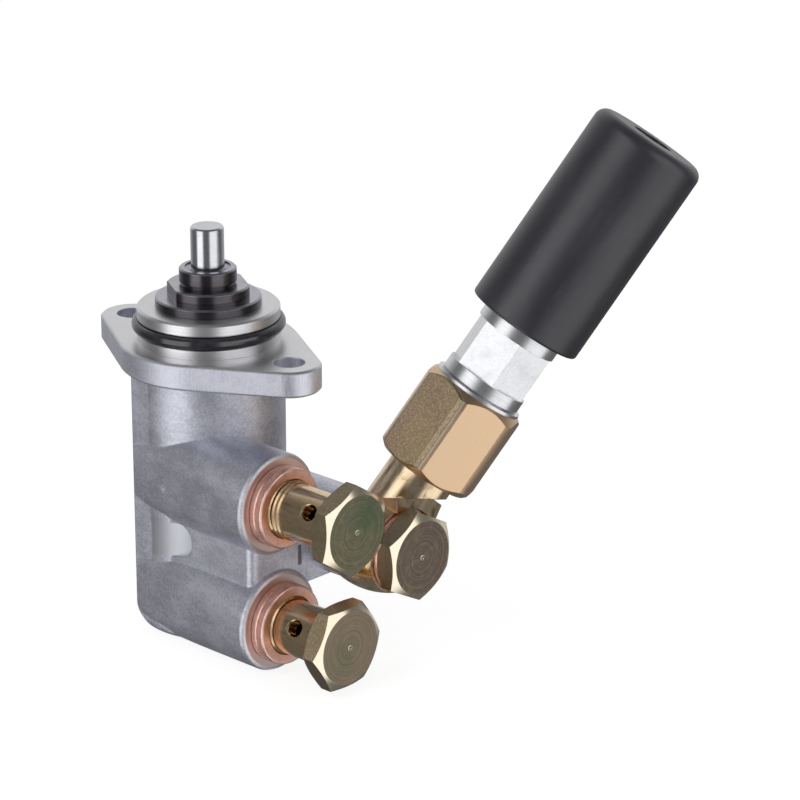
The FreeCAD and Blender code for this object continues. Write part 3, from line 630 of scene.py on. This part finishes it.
@dataclass(frozen=True)
class Copper(Finish):
    """Soft copper ring, pink round its rim and orange towards the bolt.

    Attributes:
        rim: Colour of the outer rim.
        face: Colour of the face near the bore.
        dull: Colour of the dull patches.
        face_radius: Where the colour turns.
        pitch: Brushed rings per millimetre.
    """

    rim: Rgb = (1.0, 0.66, 0.58)
    face: Rgb = (1.0, 0.54, 0.38)
    dull: Rgb = (0.72, 0.38, 0.32)
    face_radius: float = 9.6
    pitch: float = 3.4
    depth: float = 0.035

    def surface(self, graph: Graph, here: Local) -> dict[str, object]:
        """Brushed rings with dull patches.

        Args:
            graph: The material's nodes.
            here: Position on the ring's seat.

        Returns:
            Inputs of the surface shader.
        """
        rings = graph.noise(here.round_lines(self.pitch, self.pitch), roughness=0.65)
        patches = graph.noise(here.vector, scale=0.55, detail=4.0, roughness=0.6, distortion=0.5)
        fine = graph.noise(here.vector, scale=2.6, detail=2.0, roughness=0.7)
        inner = here.radius.under(self.face_radius, 0.7)
        colour = graph.mix(self.rim, self.face, inner * 0.85 + patches * 0.15)
        colour = graph.mix(colour, self.dull, patches.over(0.54, 0.08) * 0.4 + fine.over(0.56, 0.06) * 0.45)
        rough = rings * 0.14 + patches * 0.16 + 0.24
        return self.metal(graph, colour, rough, rings * 0.5 + fine * 0.5)


class Tint(Enum):
    """Cast of the plating on the outer face of a bolt's head."""

    GREEN = (0.27, 0.27, 0.18)
    TAN = (0.46, 0.37, 0.27)
    BROWN = (0.29, 0.23, 0.195)


@dataclass(frozen=True)
class PlatedBolt(Finish):
    """Yellow-zinc plated hollow bolt.

    Attributes:
        tint: Cast of the head's face.
        head_from: Height of the head's underside on the seat.
        head_height: Height of the head.
        grainy: Bearing of a facet with coarse grain, in degrees.
        facet_reach: Distance of that facet from the axis.
        patch: Middle of the green patch on the face.
        patch_radius: Where the green patch is half as strong.
        patch_depth: How strong the green patch is.
        painted_glint_radius: Radius of the painted highlight at the centre.
        gold: Main colour of the plating.
        brown: Colour of its darker bands.
        green: Colour of its greenish bands.
        olive: Colour of the facets.
        cream: Colour of the chamfer and of the painted highlight at the centre.
        soot: Colour in the facets' grain.
        groove: Colour between the rings of the face.
        moss: Colour of the green patch.
        ring_pitch: Those rings per millimetre.
    """

    tint: Tint = Tint.TAN
    head_from: float = 57.5
    head_height: float = 6.2
    grainy: Optional[float] = None
    facet_reach: float = 10.75
    patch: tuple[float, float] = (4.0, 4.0)
    patch_radius: float = 5.0
    patch_depth: float = 0.0
    painted_glint_radius: float = 0.7
    gold: Rgb = (0.78, 0.59, 0.36)
    brown: Rgb = (0.50, 0.38, 0.26)
    green: Rgb = (0.40, 0.46, 0.26)
    olive: Rgb = (0.34, 0.285, 0.195)
    cream: Rgb = (0.97, 0.86, 0.68)
    soot: Rgb = (0.10, 0.09, 0.06)
    groove: Rgb = (0.10, 0.10, 0.07)
    moss: Rgb = (0.13, 0.23, 0.13)
    ring_pitch: float = 2.2

    def surface(self, graph: Graph, here: Local) -> dict[str, object]:
        """Iridescent plating, rings on the face, grain on the facets and painted glints on the coarse facet.

        Args:
            graph: The material's nodes.
            here: Position on the bolt's seat.

        Returns:
            Inputs of the surface shader.
        """
        patches = graph.noise(here.vector, scale=0.17, roughness=0.5, distortion=0.6)
        streaks = graph.noise(here.stretched(0.8, 0.8, 0.1), detail=4.0, roughness=0.6, distortion=0.4)
        grain = graph.noise(here.vector, scale=1.9, roughness=0.75)
        rings = graph.noise(here.round_lines(self.ring_pitch, 0.0), detail=4.0, roughness=0.8)
        face_on = self.facing(graph)
        head = here.z.over(self.head_from + 0.1, 0.1)
        top = face_on.over(0.985, 0.01) * here.z.over(self.head_from + self.head_height - 0.5, 0.2)
        chamfer = face_on.between(0.3, 0.97, 0.03) * head
        facets = head * (1.0 - face_on.over(0.3, 0.05))
        plating = graph.ramp(streaks * 0.6 + patches * 0.4, (
            (0.36, self.brown), (0.46, self.gold), (0.56, self.gold), (0.64, self.brown), (0.72, self.green)))
        plating = graph.mix(plating, self.olive, facets * 0.75)
        plating = graph.mix(plating, self.soot, facets * grain.over(0.56, 0.1) * 0.4)
        plating = graph.mix(plating, self.cream, chamfer * (patches * 0.3 + 0.7))
        colour = graph.mix(plating, self._face(graph, here, patches, rings), top)
        coarse = self._coarse(here) * facets
        # painted glints: gold specks on the coarse facet's grain
        grain_and_painted_glints = grain.over(0.54, 0.06) * coarse
        colour = graph.mix(colour, self.gold, grain_and_painted_glints * 0.75)
        height = grain * facets * 0.3 + grain * coarse * 2.4 + rings * top * 0.8
        rough = streaks * 0.1 + 0.14 + facets * 0.14 + top * 0.14 + coarse * 0.15
        return self.metal(graph, colour, rough, height)

    def _face(self, graph: Graph, here: Local, patches: Value, rings: Value) -> bpy.types.NodeSocket:
        """Colour of the round outer face, with its rings, green patch and painted highlight at the centre.

        Args:
            graph: The material's nodes.
            here: Position on the bolt's seat.
            patches: Wide patches of the plating.
            rings: Turned rings of the face.

        Returns:
            Socket with the colour.
        """
        worn = graph.noise(here.vector, scale=0.5, detail=4.0, roughness=0.7, distortion=0.4)
        bright = rings.over(0.54, 0.08) * 0.36 + worn.over(0.56, 0.08) * 0.2
        face = graph.mix(self.tint.value, self.gold, bright)
        face = graph.mix(face, self.groove, rings.under(0.44, 0.05) * 0.5)
        green = here.distance(*self.patch).under(self.patch_radius, 4.0) * patches.over(0.4, 0.12)
        face = graph.mix(face, self.moss, green * self.patch_depth)
        # painted highlight at the centre of the face
        return graph.mix(face, self.cream, here.radius.under(self.painted_glint_radius, 0.2))

    def _coarse(self, here: Local) -> Number:
        """Mask of the coarse facet, or nothing.

        Args:
            here: Position on the bolt's seat.

        Returns:
            A number from 0 to 1.
        """
        if self.grainy is None:
            return 0.0
        return here.reach(self.grainy).over(self.facet_reach, 0.1)


@dataclass(frozen=True)
class PlatedForging(Finish):
    """Yellow-zinc plated steel with streaks along its own axis.

    Attributes:
        pale: Colour where the plating is thin.
        gold: Main colour.
        dark: Colour in the dull streaks.
        warm: Colour of the brighter areas of the coarse facet.
        painted_edge_highlight: Colour of the painted highlight along that facet's edges.
        streaky: How far the streaks reach from dark to pale.
        rough: Roughness of the plating.
        grainy: Bearing of a facet with coarse grain, in degrees.
        facet_reach: Distance of that facet from the axis.
    """

    pale: Rgb = (0.90, 0.76, 0.56)
    gold: Rgb = (0.74, 0.56, 0.36)
    dark: Rgb = (0.32, 0.25, 0.17)
    warm: Rgb = (0.42, 0.35, 0.19)
    painted_edge_highlight: Rgb = (1.0, 0.95, 0.85)
    streaky: float = 0.13
    depth: float = 0.012
    edge: float = 0.25
    rough: float = 0.2
    grainy: Optional[float] = None
    facet_reach: float = 12.9

    def surface(self, graph: Graph, here: Local) -> dict[str, object]:
        """Streaked plating and fine grain, with a coarse facet, painted glints on it and a painted highlight
        along its edges, where it is wanted.

        Args:
            graph: The material's nodes.
            here: Position on the piece's seat.

        Returns:
            Inputs of the surface shader.
        """
        streaks = graph.noise(here.stretched(0.45, 0.45, 0.06), detail=4.0, roughness=0.6, distortion=0.5)
        patches = graph.noise(here.vector, scale=0.2, detail=4.0, roughness=0.6, distortion=0.7)
        grain = graph.noise(here.vector, scale=2.6, detail=2.0, roughness=0.75)
        colour = graph.ramp(streaks * 0.5 + patches * 0.5, (
            (0.5 - self.streaky, self.dark), (0.5 - self.streaky * 0.3, self.gold),
            (0.5 + self.streaky, self.pale)))
        height = grain * 0.4 + streaks * 0.3
        rough = patches * 0.12 + streaks * 0.1 + self.rough
        if self.grainy is not None:
            reach = here.reach(self.grainy)
            coarse = reach.over(self.facet_reach, 0.08)
            rim = reach.between(self.facet_reach - 0.22, self.facet_reach, 0.06)
            grain_and_painted_glints = graph.noise(here.vector, scale=1.9, roughness=0.8)
            glow = graph.noise(here.vector, scale=0.12, detail=2.0, roughness=0.5).over(0.5, 0.1)
            colour = graph.mix(colour, graph.mix(self.dark, self.warm, glow * 0.7), coarse * 0.9)
            # painted glints: pale specks on the coarse facet's grain
            colour = graph.mix(colour, self.pale, coarse * grain_and_painted_glints.over(0.53, 0.07) * 0.7)
            # painted highlight along the coarse facet's edges
            colour = graph.mix(colour, self.painted_edge_highlight, rim * 0.7)
            height = height + grain_and_painted_glints * coarse * 7.0
            rough = rough + coarse * 0.12
        return self.metal(graph, colour, rough, height)


@dataclass(frozen=True)
class MouldedPlastic(Finish):
    """Black moulded plastic with a fine satin grain.

    Attributes:
        colour: Main colour.
        worn: Colour of the handled places and specks.
        specks: Specks per millimetre.
        specular: Strength of the gloss.
    """

    colour: Rgb = (0.020, 0.020, 0.027)
    worn: Rgb = (0.055, 0.055, 0.065)
    specks: float = 0.5
    edge: float = 0.4
    specular: float = 0.75

    def surface(self, graph: Graph, here: Local) -> dict[str, object]:
        """Fine grain, faint handling marks.

        Args:
            graph: The material's nodes.
            here: Position on the knob's seat.

        Returns:
            Inputs of the surface shader.
        """
        grain = graph.noise(here.vector, scale=1.9, roughness=0.75)
        marks = graph.noise(here.stretched(1.0, 1.0, 0.25), scale=0.14, detail=4.0, roughness=0.65)
        specks = graph.cells(here.vector, self.specks).under(0.07, 0.03)
        colour = graph.mix(self.colour, self.worn, marks.over(0.56, 0.14) * 0.35 + specks * 0.5)
        rough = grain * 0.12 + marks * 0.1 + 0.27
        normal = self.relief(graph, grain - specks * 0.5)
        return {"Base Color": colour, "Metallic": 0.0, "Roughness": rough, "Normal": normal,
                "Specular IOR Level": self.specular}


@dataclass(frozen=True)
class SealRubber(Finish):
    """Oiled black rubber.

    Attributes:
        colour: Colour of the rubber.
        oiled: Colour under the thicker film of oil.
        specular: Strength of the gloss.
    """

    colour: Rgb = (0.010, 0.010, 0.014)
    oiled: Rgb = (0.03, 0.03, 0.04)
    depth: float = 0.006
    specular: float = 1.0

    def surface(self, graph: Graph, here: Local) -> dict[str, object]:
        """Soft mould grain and a thin film of oil.

        Args:
            graph: The material's nodes.
            here: Position on the ring's seat.

        Returns:
            Inputs of the surface shader.
        """
        grain = graph.noise(here.vector, scale=1.8, roughness=0.6)
        film = graph.noise(here.vector, scale=0.3, roughness=0.6)
        colour = graph.mix(self.colour, self.oiled, film.over(0.55, 0.12) * 0.6)
        rough = film * 0.14 + grain * 0.05 + 0.08
        return {"Base Color": colour, "Roughness": rough, "Normal": graph.bump(grain, self.depth),
                "Specular IOR Level": self.specular}


UPPER_PORT = Seat((-11.6, 0.0, -35.2), (90.0, 0.0, 0.0))
LOWER_PORT = Seat((-11.6, 0.0, -68.6), (90.0, 0.0, 0.0))
PRIMER_PORT = Seat((12.6, 0.0, -49.3), (90.0, 0.0, 0.0))
PRIMER_AXIS = Seat((12.6, -49.7, -49.3), (19.0, 29.7, 0.0))


def dress(finish: Finish, *nodes: str) -> None:
    """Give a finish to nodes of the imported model.

    Args:
        finish: The finish.
        nodes: Names of the nodes.
    """
    material = finish.material()
    for node in nodes:
        mesh = frame["nodes"][node].data
        mesh.materials.clear()
        mesh.materials.append(material)


def linked(name: str, data: bpy.types.ID) -> bpy.types.Object:
    """Put new data into the scene.

    Args:
        name: Name of the object.
        data: A mesh, camera or lamp.

    Returns:
        The new object, at the origin.
    """
    made = bpy.data.objects.new(name, data)
    bpy.context.scene.collection.objects.link(made)
    return made


def shown(name: str, shape: bmesh.types.BMesh, material: bpy.types.Material) -> bpy.types.Object:
    """Turn a modelled shape into an object.

    Args:
        name: Name of the object and its mesh.
        shape: Its shape, in metres.
        material: Its material.

    Returns:
        The new object, at the origin with its place in its mesh.
    """
    mesh = bpy.data.meshes.new(name)
    shape.to_mesh(mesh)
    shape.free()
    mesh.materials.append(material)
    return linked(name, mesh)


def piece(name: str, shape: bmesh.types.BMesh, finish: Finish) -> bpy.types.Object:
    """Turn a modelled shape into a piece that stands still with the pump.

    Args:
        name: Name of the piece.
        shape: Its shape, in metres and in its place.
        finish: Its finish.

    Returns:
        The new object.
    """
    made = shown(name, shape, finish.material())
    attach(made, "pump")
    return made


@dataclass
class Housing:
    """The casting with its rubber ring and seals.

    Attributes:
        skin: Finish of the casting.
        rubber: Finish of the ring and the seals.
    """

    skin: CastHousing = CastHousing("cast_housing")
    rubber: SealRubber = SealRubber("oiled_rubber")

    def dress(self) -> None:
        """Give the casting and the rings their finishes."""
        dress(self.skin, "pump_housing")
        dress(self.rubber, "flange_ring", "pin_seal", "primer_cup_seal")


@dataclass(frozen=True)
class CoilSpring:
    """A spring that a sliding part presses together.

    Attributes:
        node: CAD node that the spring stands for.
        joint: Joint that presses it.
        push: Direction in which it is pressed.
    """

    node: str
    joint: str
    push: Triple

    def travel(self) -> float:
        """Return how far the joint presses the spring, in metres."""
        limits = next(joint["range_m"] for joint in frame["joints"] if joint["name"] == self.joint)
        return max(abs(limit) for limit in limits)

    def show(self, finish: Finish) -> None:
        """Show a copy of the node, with its doubled points merged, in the node's place, and hide the node.

        Args:
            finish: Finish of the wire.
        """
        shape = bmesh.new()
        shape.from_mesh(frame["nodes"][self.node].data)
        bmesh.ops.remove_doubles(shape, verts=shape.verts, dist=MICROMETRE)
        made = piece(self.node + "_coil", shape, finish)
        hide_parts(self.node)
        push = Vector(self.push)
        start, seat = sorted(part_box(self.node), key=push.dot)
        length = (seat - start).dot(push)
        1.0 - self.travel() / length
        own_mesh(made)


@dataclass
class TappetGuide:
    """Dark guide bush and bright push pin, with the piston, valves and springs behind them.

    Attributes:
        bush: Finish of the bush.
        pin: Finish of the pin and the piston.
        wire: Finish of the springs and the valve stop.
        brass: Finish of the valve seats and plates.
        springs: The coil springs.
    """

    # the bush's top colour paints a sheen, with some worn phosphate, on its upward faces
    bush: TurnedMetal = TurnedMetal(
        "phosphated_bush", colour=(0.12, 0.11, 0.12), shade=(0.05, 0.045, 0.05), top=(0.50, 0.50, 0.56),
        rough=0.24, spread=0.1, pitch=3.0, depth=0.01, edge=0.25)
    pin: TurnedMetal = TurnedMetal(
        "ground_pin", colour=(0.70, 0.71, 0.74), shade=(0.56, 0.57, 0.60), rough=0.19, spread=0.05,
        pitch=6.0, depth=0.003, edge=0.3)
    wire: TurnedMetal = TurnedMetal("spring_wire", colour=(0.42, 0.42, 0.44), rough=0.35)
    brass: TurnedMetal = TurnedMetal(
        "valve_brass", colour=(0.78, 0.62, 0.33), shade=(0.6, 0.46, 0.24), rough=0.3)
    springs: tuple[CoilSpring, ...] = (
        CoilSpring("piston_spring", "piston_stroke", (0.0, 0.0, -1.0)),
        CoilSpring("inlet_valve_spring", "inlet_valve_lift", (0.0, 1.0, 0.0)),
        CoilSpring("outlet_valve_spring", "outlet_valve_lift", (0.0, -1.0, 0.0)))

    def dress(self) -> None:
        """Give the bush, pin, piston and valves their finishes, and show the springs."""
        dress(self.bush, "tappet_guide")
        dress(self.pin, "push_pin", "pump_piston")
        dress(self.wire, "outlet_valve_stop")
        for spring in self.springs:
            spring.show(self.wire)
        dress(self.brass, "outlet_valve_seat", "inlet_valve_seat", "outlet_valve_plate", "inlet_valve_plate")


@dataclass
class PortBolt:
    """A hollow bolt in its port, with its thread and copper rings.

    Attributes:
        name: Node name without its ending.
        plating: Finish of the bolt, on the seat of its port.
        root: Radius of the shank that the thread stands on.
        crest: Radius of the thread's crest.
        pitch: Rise of the thread in one turn.
        ridge: Heights of the ridge's four corners, as shares of the pitch.
        turns: Turns of thread that show past the rings.
        thread_end: Distance from the head's underside to the thread's end.
        steps: Steps in one turn.
    """

    name: str
    plating: PlatedBolt
    root: float = 7.35
    crest: float = 7.95
    pitch: float = 1.5
    ridge: tuple[float, float, float, float] = (0.08, 0.5, 0.62, 0.92)
    turns: int = 3
    thread_end: float = 14.4
    steps: int = 48

    def dress(self) -> None:
        """Give the bolt and its rings their finishes."""
        dress(self.plating, self.name + "_bolt")
        copper = Copper(self.name + "_copper", self.plating.seat)
        dress(copper, self.name + "_washer_inner", self.name + "_washer_outer")

    def thread(self) -> None:
        """Wind the ridge of the thread that shows between the rings and the plain shank."""
        shape = bmesh.new()
        low = self.plating.head_from - self.thread_end - self.pitch * (self.turns + 1)
        radii = (self.root, self.crest, self.crest, self.root)
        corners = [shape.verts.new((radius, 0.0, low + share * self.pitch))
                   for radius, share in zip(radii, self.ridge)]
        start = shape.faces.new(corners)
        bmesh.ops.spin(
            shape, geom=[start, *start.edges, *start.verts], cent=(0.0, 0.0, 0.0), axis=(0.0, 0.0, 1.0),
            dvec=(0.0, 0.0, self.pitch / self.steps), angle=math.tau * self.turns,
            steps=self.steps * self.turns, use_merge=False, use_normal_flip=False, use_duplicate=False)
        bmesh.ops.holes_fill(shape, edges=[edge for edge in shape.edges if edge.is_boundary], sides=4)
        bmesh.ops.scale(shape, vec=Vector((MILLIMETRE,) * 3), verts=shape.verts)
        bmesh.ops.transform(shape, matrix=self.plating.seat.matrix(), verts=shape.verts)
        bmesh.ops.recalc_face_normals(shape, faces=shape.faces)
        piece(self.name + "_thread", shape, self.plating)


@dataclass
class HandPrimer:
    """Banjo, union nut, primer barrel and knob on the leaning axis.

    Attributes:
        seat: Seat of the leaning axis.
        grainy_facet: Bearing of the nut's coarse facet, in degrees.
    """

    seat: Seat = PRIMER_AXIS
    grainy_facet: float = 182.0

    def dress(self) -> None:
        """Give the pieces of the hand primer their finishes."""
        banjo = PlatedForging("banjo_plating", self.seat, rough=0.1)
        nut = PlatedForging("nut_plating", self.seat, pale=(0.82, 0.60, 0.40), gold=(0.76, 0.53, 0.34),
                            dark=(0.36, 0.28, 0.19), streaky=0.3, rough=0.22, grainy=self.grainy_facet)
        bright = TurnedMetal("turned_aluminium", self.seat, colour=(0.78, 0.785, 0.80),
                             shade=(0.62, 0.63, 0.66), rough=0.3, spread=0.12, pitch=3.0, depth=0.008)
        dress(banjo, "primer_banjo")
        dress(nut, "primer_union_nut")
        dress(bright, "primer_sleeve", "primer_lock_ring", "primer_piston", "primer_rod")
        dress(MouldedPlastic("knob_plastic", self.seat), "primer_knob")
        dress(Copper("guide_copper"), "guide_seal_ring")


@dataclass(frozen=True)
class SoftBox:
    """A bright area of the room that metal mirrors, with the camera at azimuth 0.

    Attributes:
        start: Azimuth where it starts, in degrees.
        end: Azimuth where it ends.
        side: Softness of its two sides, in degrees.
        low: Height of its lower rim, from -1 to 1.
        high: Height of its upper rim.
        rim: Softness of the two rims.
        strength: How bright it is.
    """

    start: float
    end: float
    side: float
    low: float
    high: float
    rim: float
    strength: float

    def light(self, azimuth: Value, height: Value) -> Value:
        """Light from a direction, by its azimuth in degrees and its height from -1 to 1."""
        across = azimuth.between(self.start, self.end, self.side)
        return across * height.between(self.low, self.high, self.rim) * self.strength


@dataclass
class Studio:
    """Pale floor, soft lights, white background and camera.

    Attributes:
        eye: Place of the camera, in metres.
        target: Point that it looks at.
        lens: Focal length, in millimetres.
        sensor: Width of the sensor, in millimetres.
        nearest: Nearest distance that the camera sees, in metres.
        left: Softbox left of the camera.
        right: Softbox right of the camera.
        rear: Softbox behind the pump, by azimuth without sign.
        room: Brightness of the rest of the room.
        fill: Light of the room on surfaces that aren't mirrors.
        floor_side: Side of the floor, in metres.
        floor_paint: Grey of the floor.
        floor_glow: Light that the camera sees from the floor itself.
        lamps: Name, place in metres and power in watts of each lamp.
        lamp_side: Side of a lamp's square face, in metres.
    """

    eye: Triple = (-0.6129, -0.6463, 0.3024)
    target: Triple = (0.03112, -0.04156, -0.01599)
    lens: float = 156.33
    sensor: float = 36.0
    nearest: float = 0.01
    left: SoftBox = SoftBox(-70.0, -27.0, 3.0, -0.75, 0.80, 0.05, 1.28)
    right: SoftBox = SoftBox(19.0, 84.0, 4.0, -0.80, 0.55, 0.06, 1.05)
    rear: SoftBox = SoftBox(125.0, 360.0, 25.0, -0.3, 0.75, 0.2, 0.62)
    room: float = 0.14
    fill: float = 0.62
    floor_side: float = 6.0
    floor_paint: float = 0.2
    floor_glow: float = 0.86
    lamps: tuple[tuple[str, Triple, float], ...] = (
        ("key_lamp", (-0.75, 0.05, 0.55), 3.4), ("side_lamp", (0.15, -0.85, 0.35), 2.6))
    lamp_side: float = 0.5

    def camera(self) -> None:
        """Set up the camera."""
        data = bpy.data.cameras.new("photo_camera")
        data.lens = self.lens
        data.sensor_width = self.sensor
        data.clip_start = self.nearest
        camera = linked("photo_camera", data)
        camera.location = self.eye
        aim = Vector(self.target) - Vector(self.eye)
        camera.rotation_euler = aim.to_track_quat("-Z", "Y").to_euler()
        bpy.context.scene.camera = camera

    def lamp(self, name: str, place: Triple, watts: float) -> None:
        """Add one soft lamp that faces the pump.

        Args:
            name: Name of the lamp.
            place: Where it stands, in metres.
            watts: Its power.
        """
        data = bpy.data.lights.new(name, "AREA")
        data.shape = "SQUARE"
        data.size = self.lamp_side
        data.energy = watts
        lamp = linked(name, data)
        lamp.location = place
        lamp.rotation_euler = (Vector(self.target) - Vector(place)).to_track_quat("-Z", "Y").to_euler()
        lamp.visible_glossy = False

    def world(self) -> None:
        """White background, with the softboxes and the dim room that metal mirrors."""
        world = bpy.data.worlds.new("studio")
        bpy.context.scene.world = world
        world.use_nodes = True
        graph = Graph(world.node_tree)
        way = graph.node("ShaderNodeTexCoord").outputs["Generated"]
        heading = math.atan2(self.eye[1] - self.target[1], self.eye[0] - self.target[0])
        turned = graph.node("ShaderNodeMapping", {"vector_type": "POINT"}, {
            "Vector": way, "Rotation": (0.0, 0.0, -heading)})
        parts = graph.node("ShaderNodeSeparateXYZ", {}, {0: turned.outputs[0]}).outputs
        x, y, z = (Value(graph, part) for part in parts)
        azimuth = y.bearing(x) * math.degrees(1.0)
        boxes = self.left.light(azimuth, z) + self.right.light(azimuth, z) + self.rear.light(abs(azimuth), z)
        camera, glossy, clear = graph.rays()
        seen = camera + (glossy + clear) * (boxes + self.room)
        plain = 1.0 - (camera + glossy + clear)
        background = graph.node("ShaderNodeBackground", {}, {
            "Color": WHITE, "Strength": seen + plain * self.fill})
        graph.node("ShaderNodeOutputWorld", {}, {"Surface": background.outputs[0]})

    def floor(self, level: float) -> None:
        """Lay the pale floor, which mirrors don't see.

        Args:
            level: Height of the floor, in metres.
        """
        shape = bmesh.new()
        bmesh.ops.create_grid(shape, x_segments=1, y_segments=1, size=self.floor_side / 2)
        bmesh.ops.translate(shape, vec=Vector((0.0, 0.0, level)), verts=shape.verts)
        material = bpy.data.materials.new("pale_floor")
        material.use_nodes = True
        graph = Graph(material.node_tree)
        camera, glossy, clear = graph.rays()
        paint = graph.node("ShaderNodeBsdfDiffuse", {}, {"Color": (self.floor_paint,) * 3})
        glow = graph.node("ShaderNodeEmission", {}, {"Color": WHITE, "Strength": camera * self.floor_glow})
        lit = graph.node("ShaderNodeAddShader", {}, {0: paint.outputs[0], 1: glow.outputs[0]})
        unseen = graph.node("ShaderNodeBsdfTransparent")
        both = graph.node("ShaderNodeMixShader", {}, {
            0: glossy + clear, 1: lit.outputs[0], 2: unseen.outputs[0]})
        graph.node("ShaderNodeOutputMaterial", {}, {"Surface": both.outputs[0]})
        floor = shown("floor", shape, material)

    def build(self, level: float) -> None:
        """Set up floor, lights, background and camera.

        Args:
            level: Height of the floor, in metres.
        """
        bpy.context.scene.view_settings.view_transform = "Standard"
        self.camera()
        self.world()
        self.floor(level)
        for name, place, watts in self.lamps:
            self.lamp(name, place, watts)


def main() -> None:
    """Dress the pump, wind its threads and set up the studio."""
    logging.basicConfig(level=logging.INFO, format="%(message)s")
    Housing().dress()
    TappetGuide().dress()
    bolts = (
        PortBolt("outlet", PlatedBolt("outlet_plating", UPPER_PORT, tint=Tint.GREEN, head_from=60.3,
                                      patch=(4.0, 3.5), patch_depth=0.6)),
        PortBolt("inlet", PlatedBolt("inlet_plating", LOWER_PORT, tint=Tint.TAN, head_from=57.5,
                                     grainy=151.5, patch=(-2.5, -2.0), patch_depth=0.3)),
        PortBolt("primer", PlatedBolt("primer_plating", PRIMER_PORT, tint=Tint.BROWN, head_from=60.9)))
    for bolt in bolts:
        bolt.dress()
    for bolt in bolts[:2]:
        bolt.thread()
    HandPrimer().dress()
    for shape in bpy.context.scene.objects:
        if shape.active_material is not None:
            LOG.info("%s: %s", shape.name, shape.active_material.name)
    low = CAD_BOX[0][2]
    Studio().build(low)
    LOG.info("dressed %d nodes", len(frame["nodes"]))


if __name__ == "__main__":
    main()
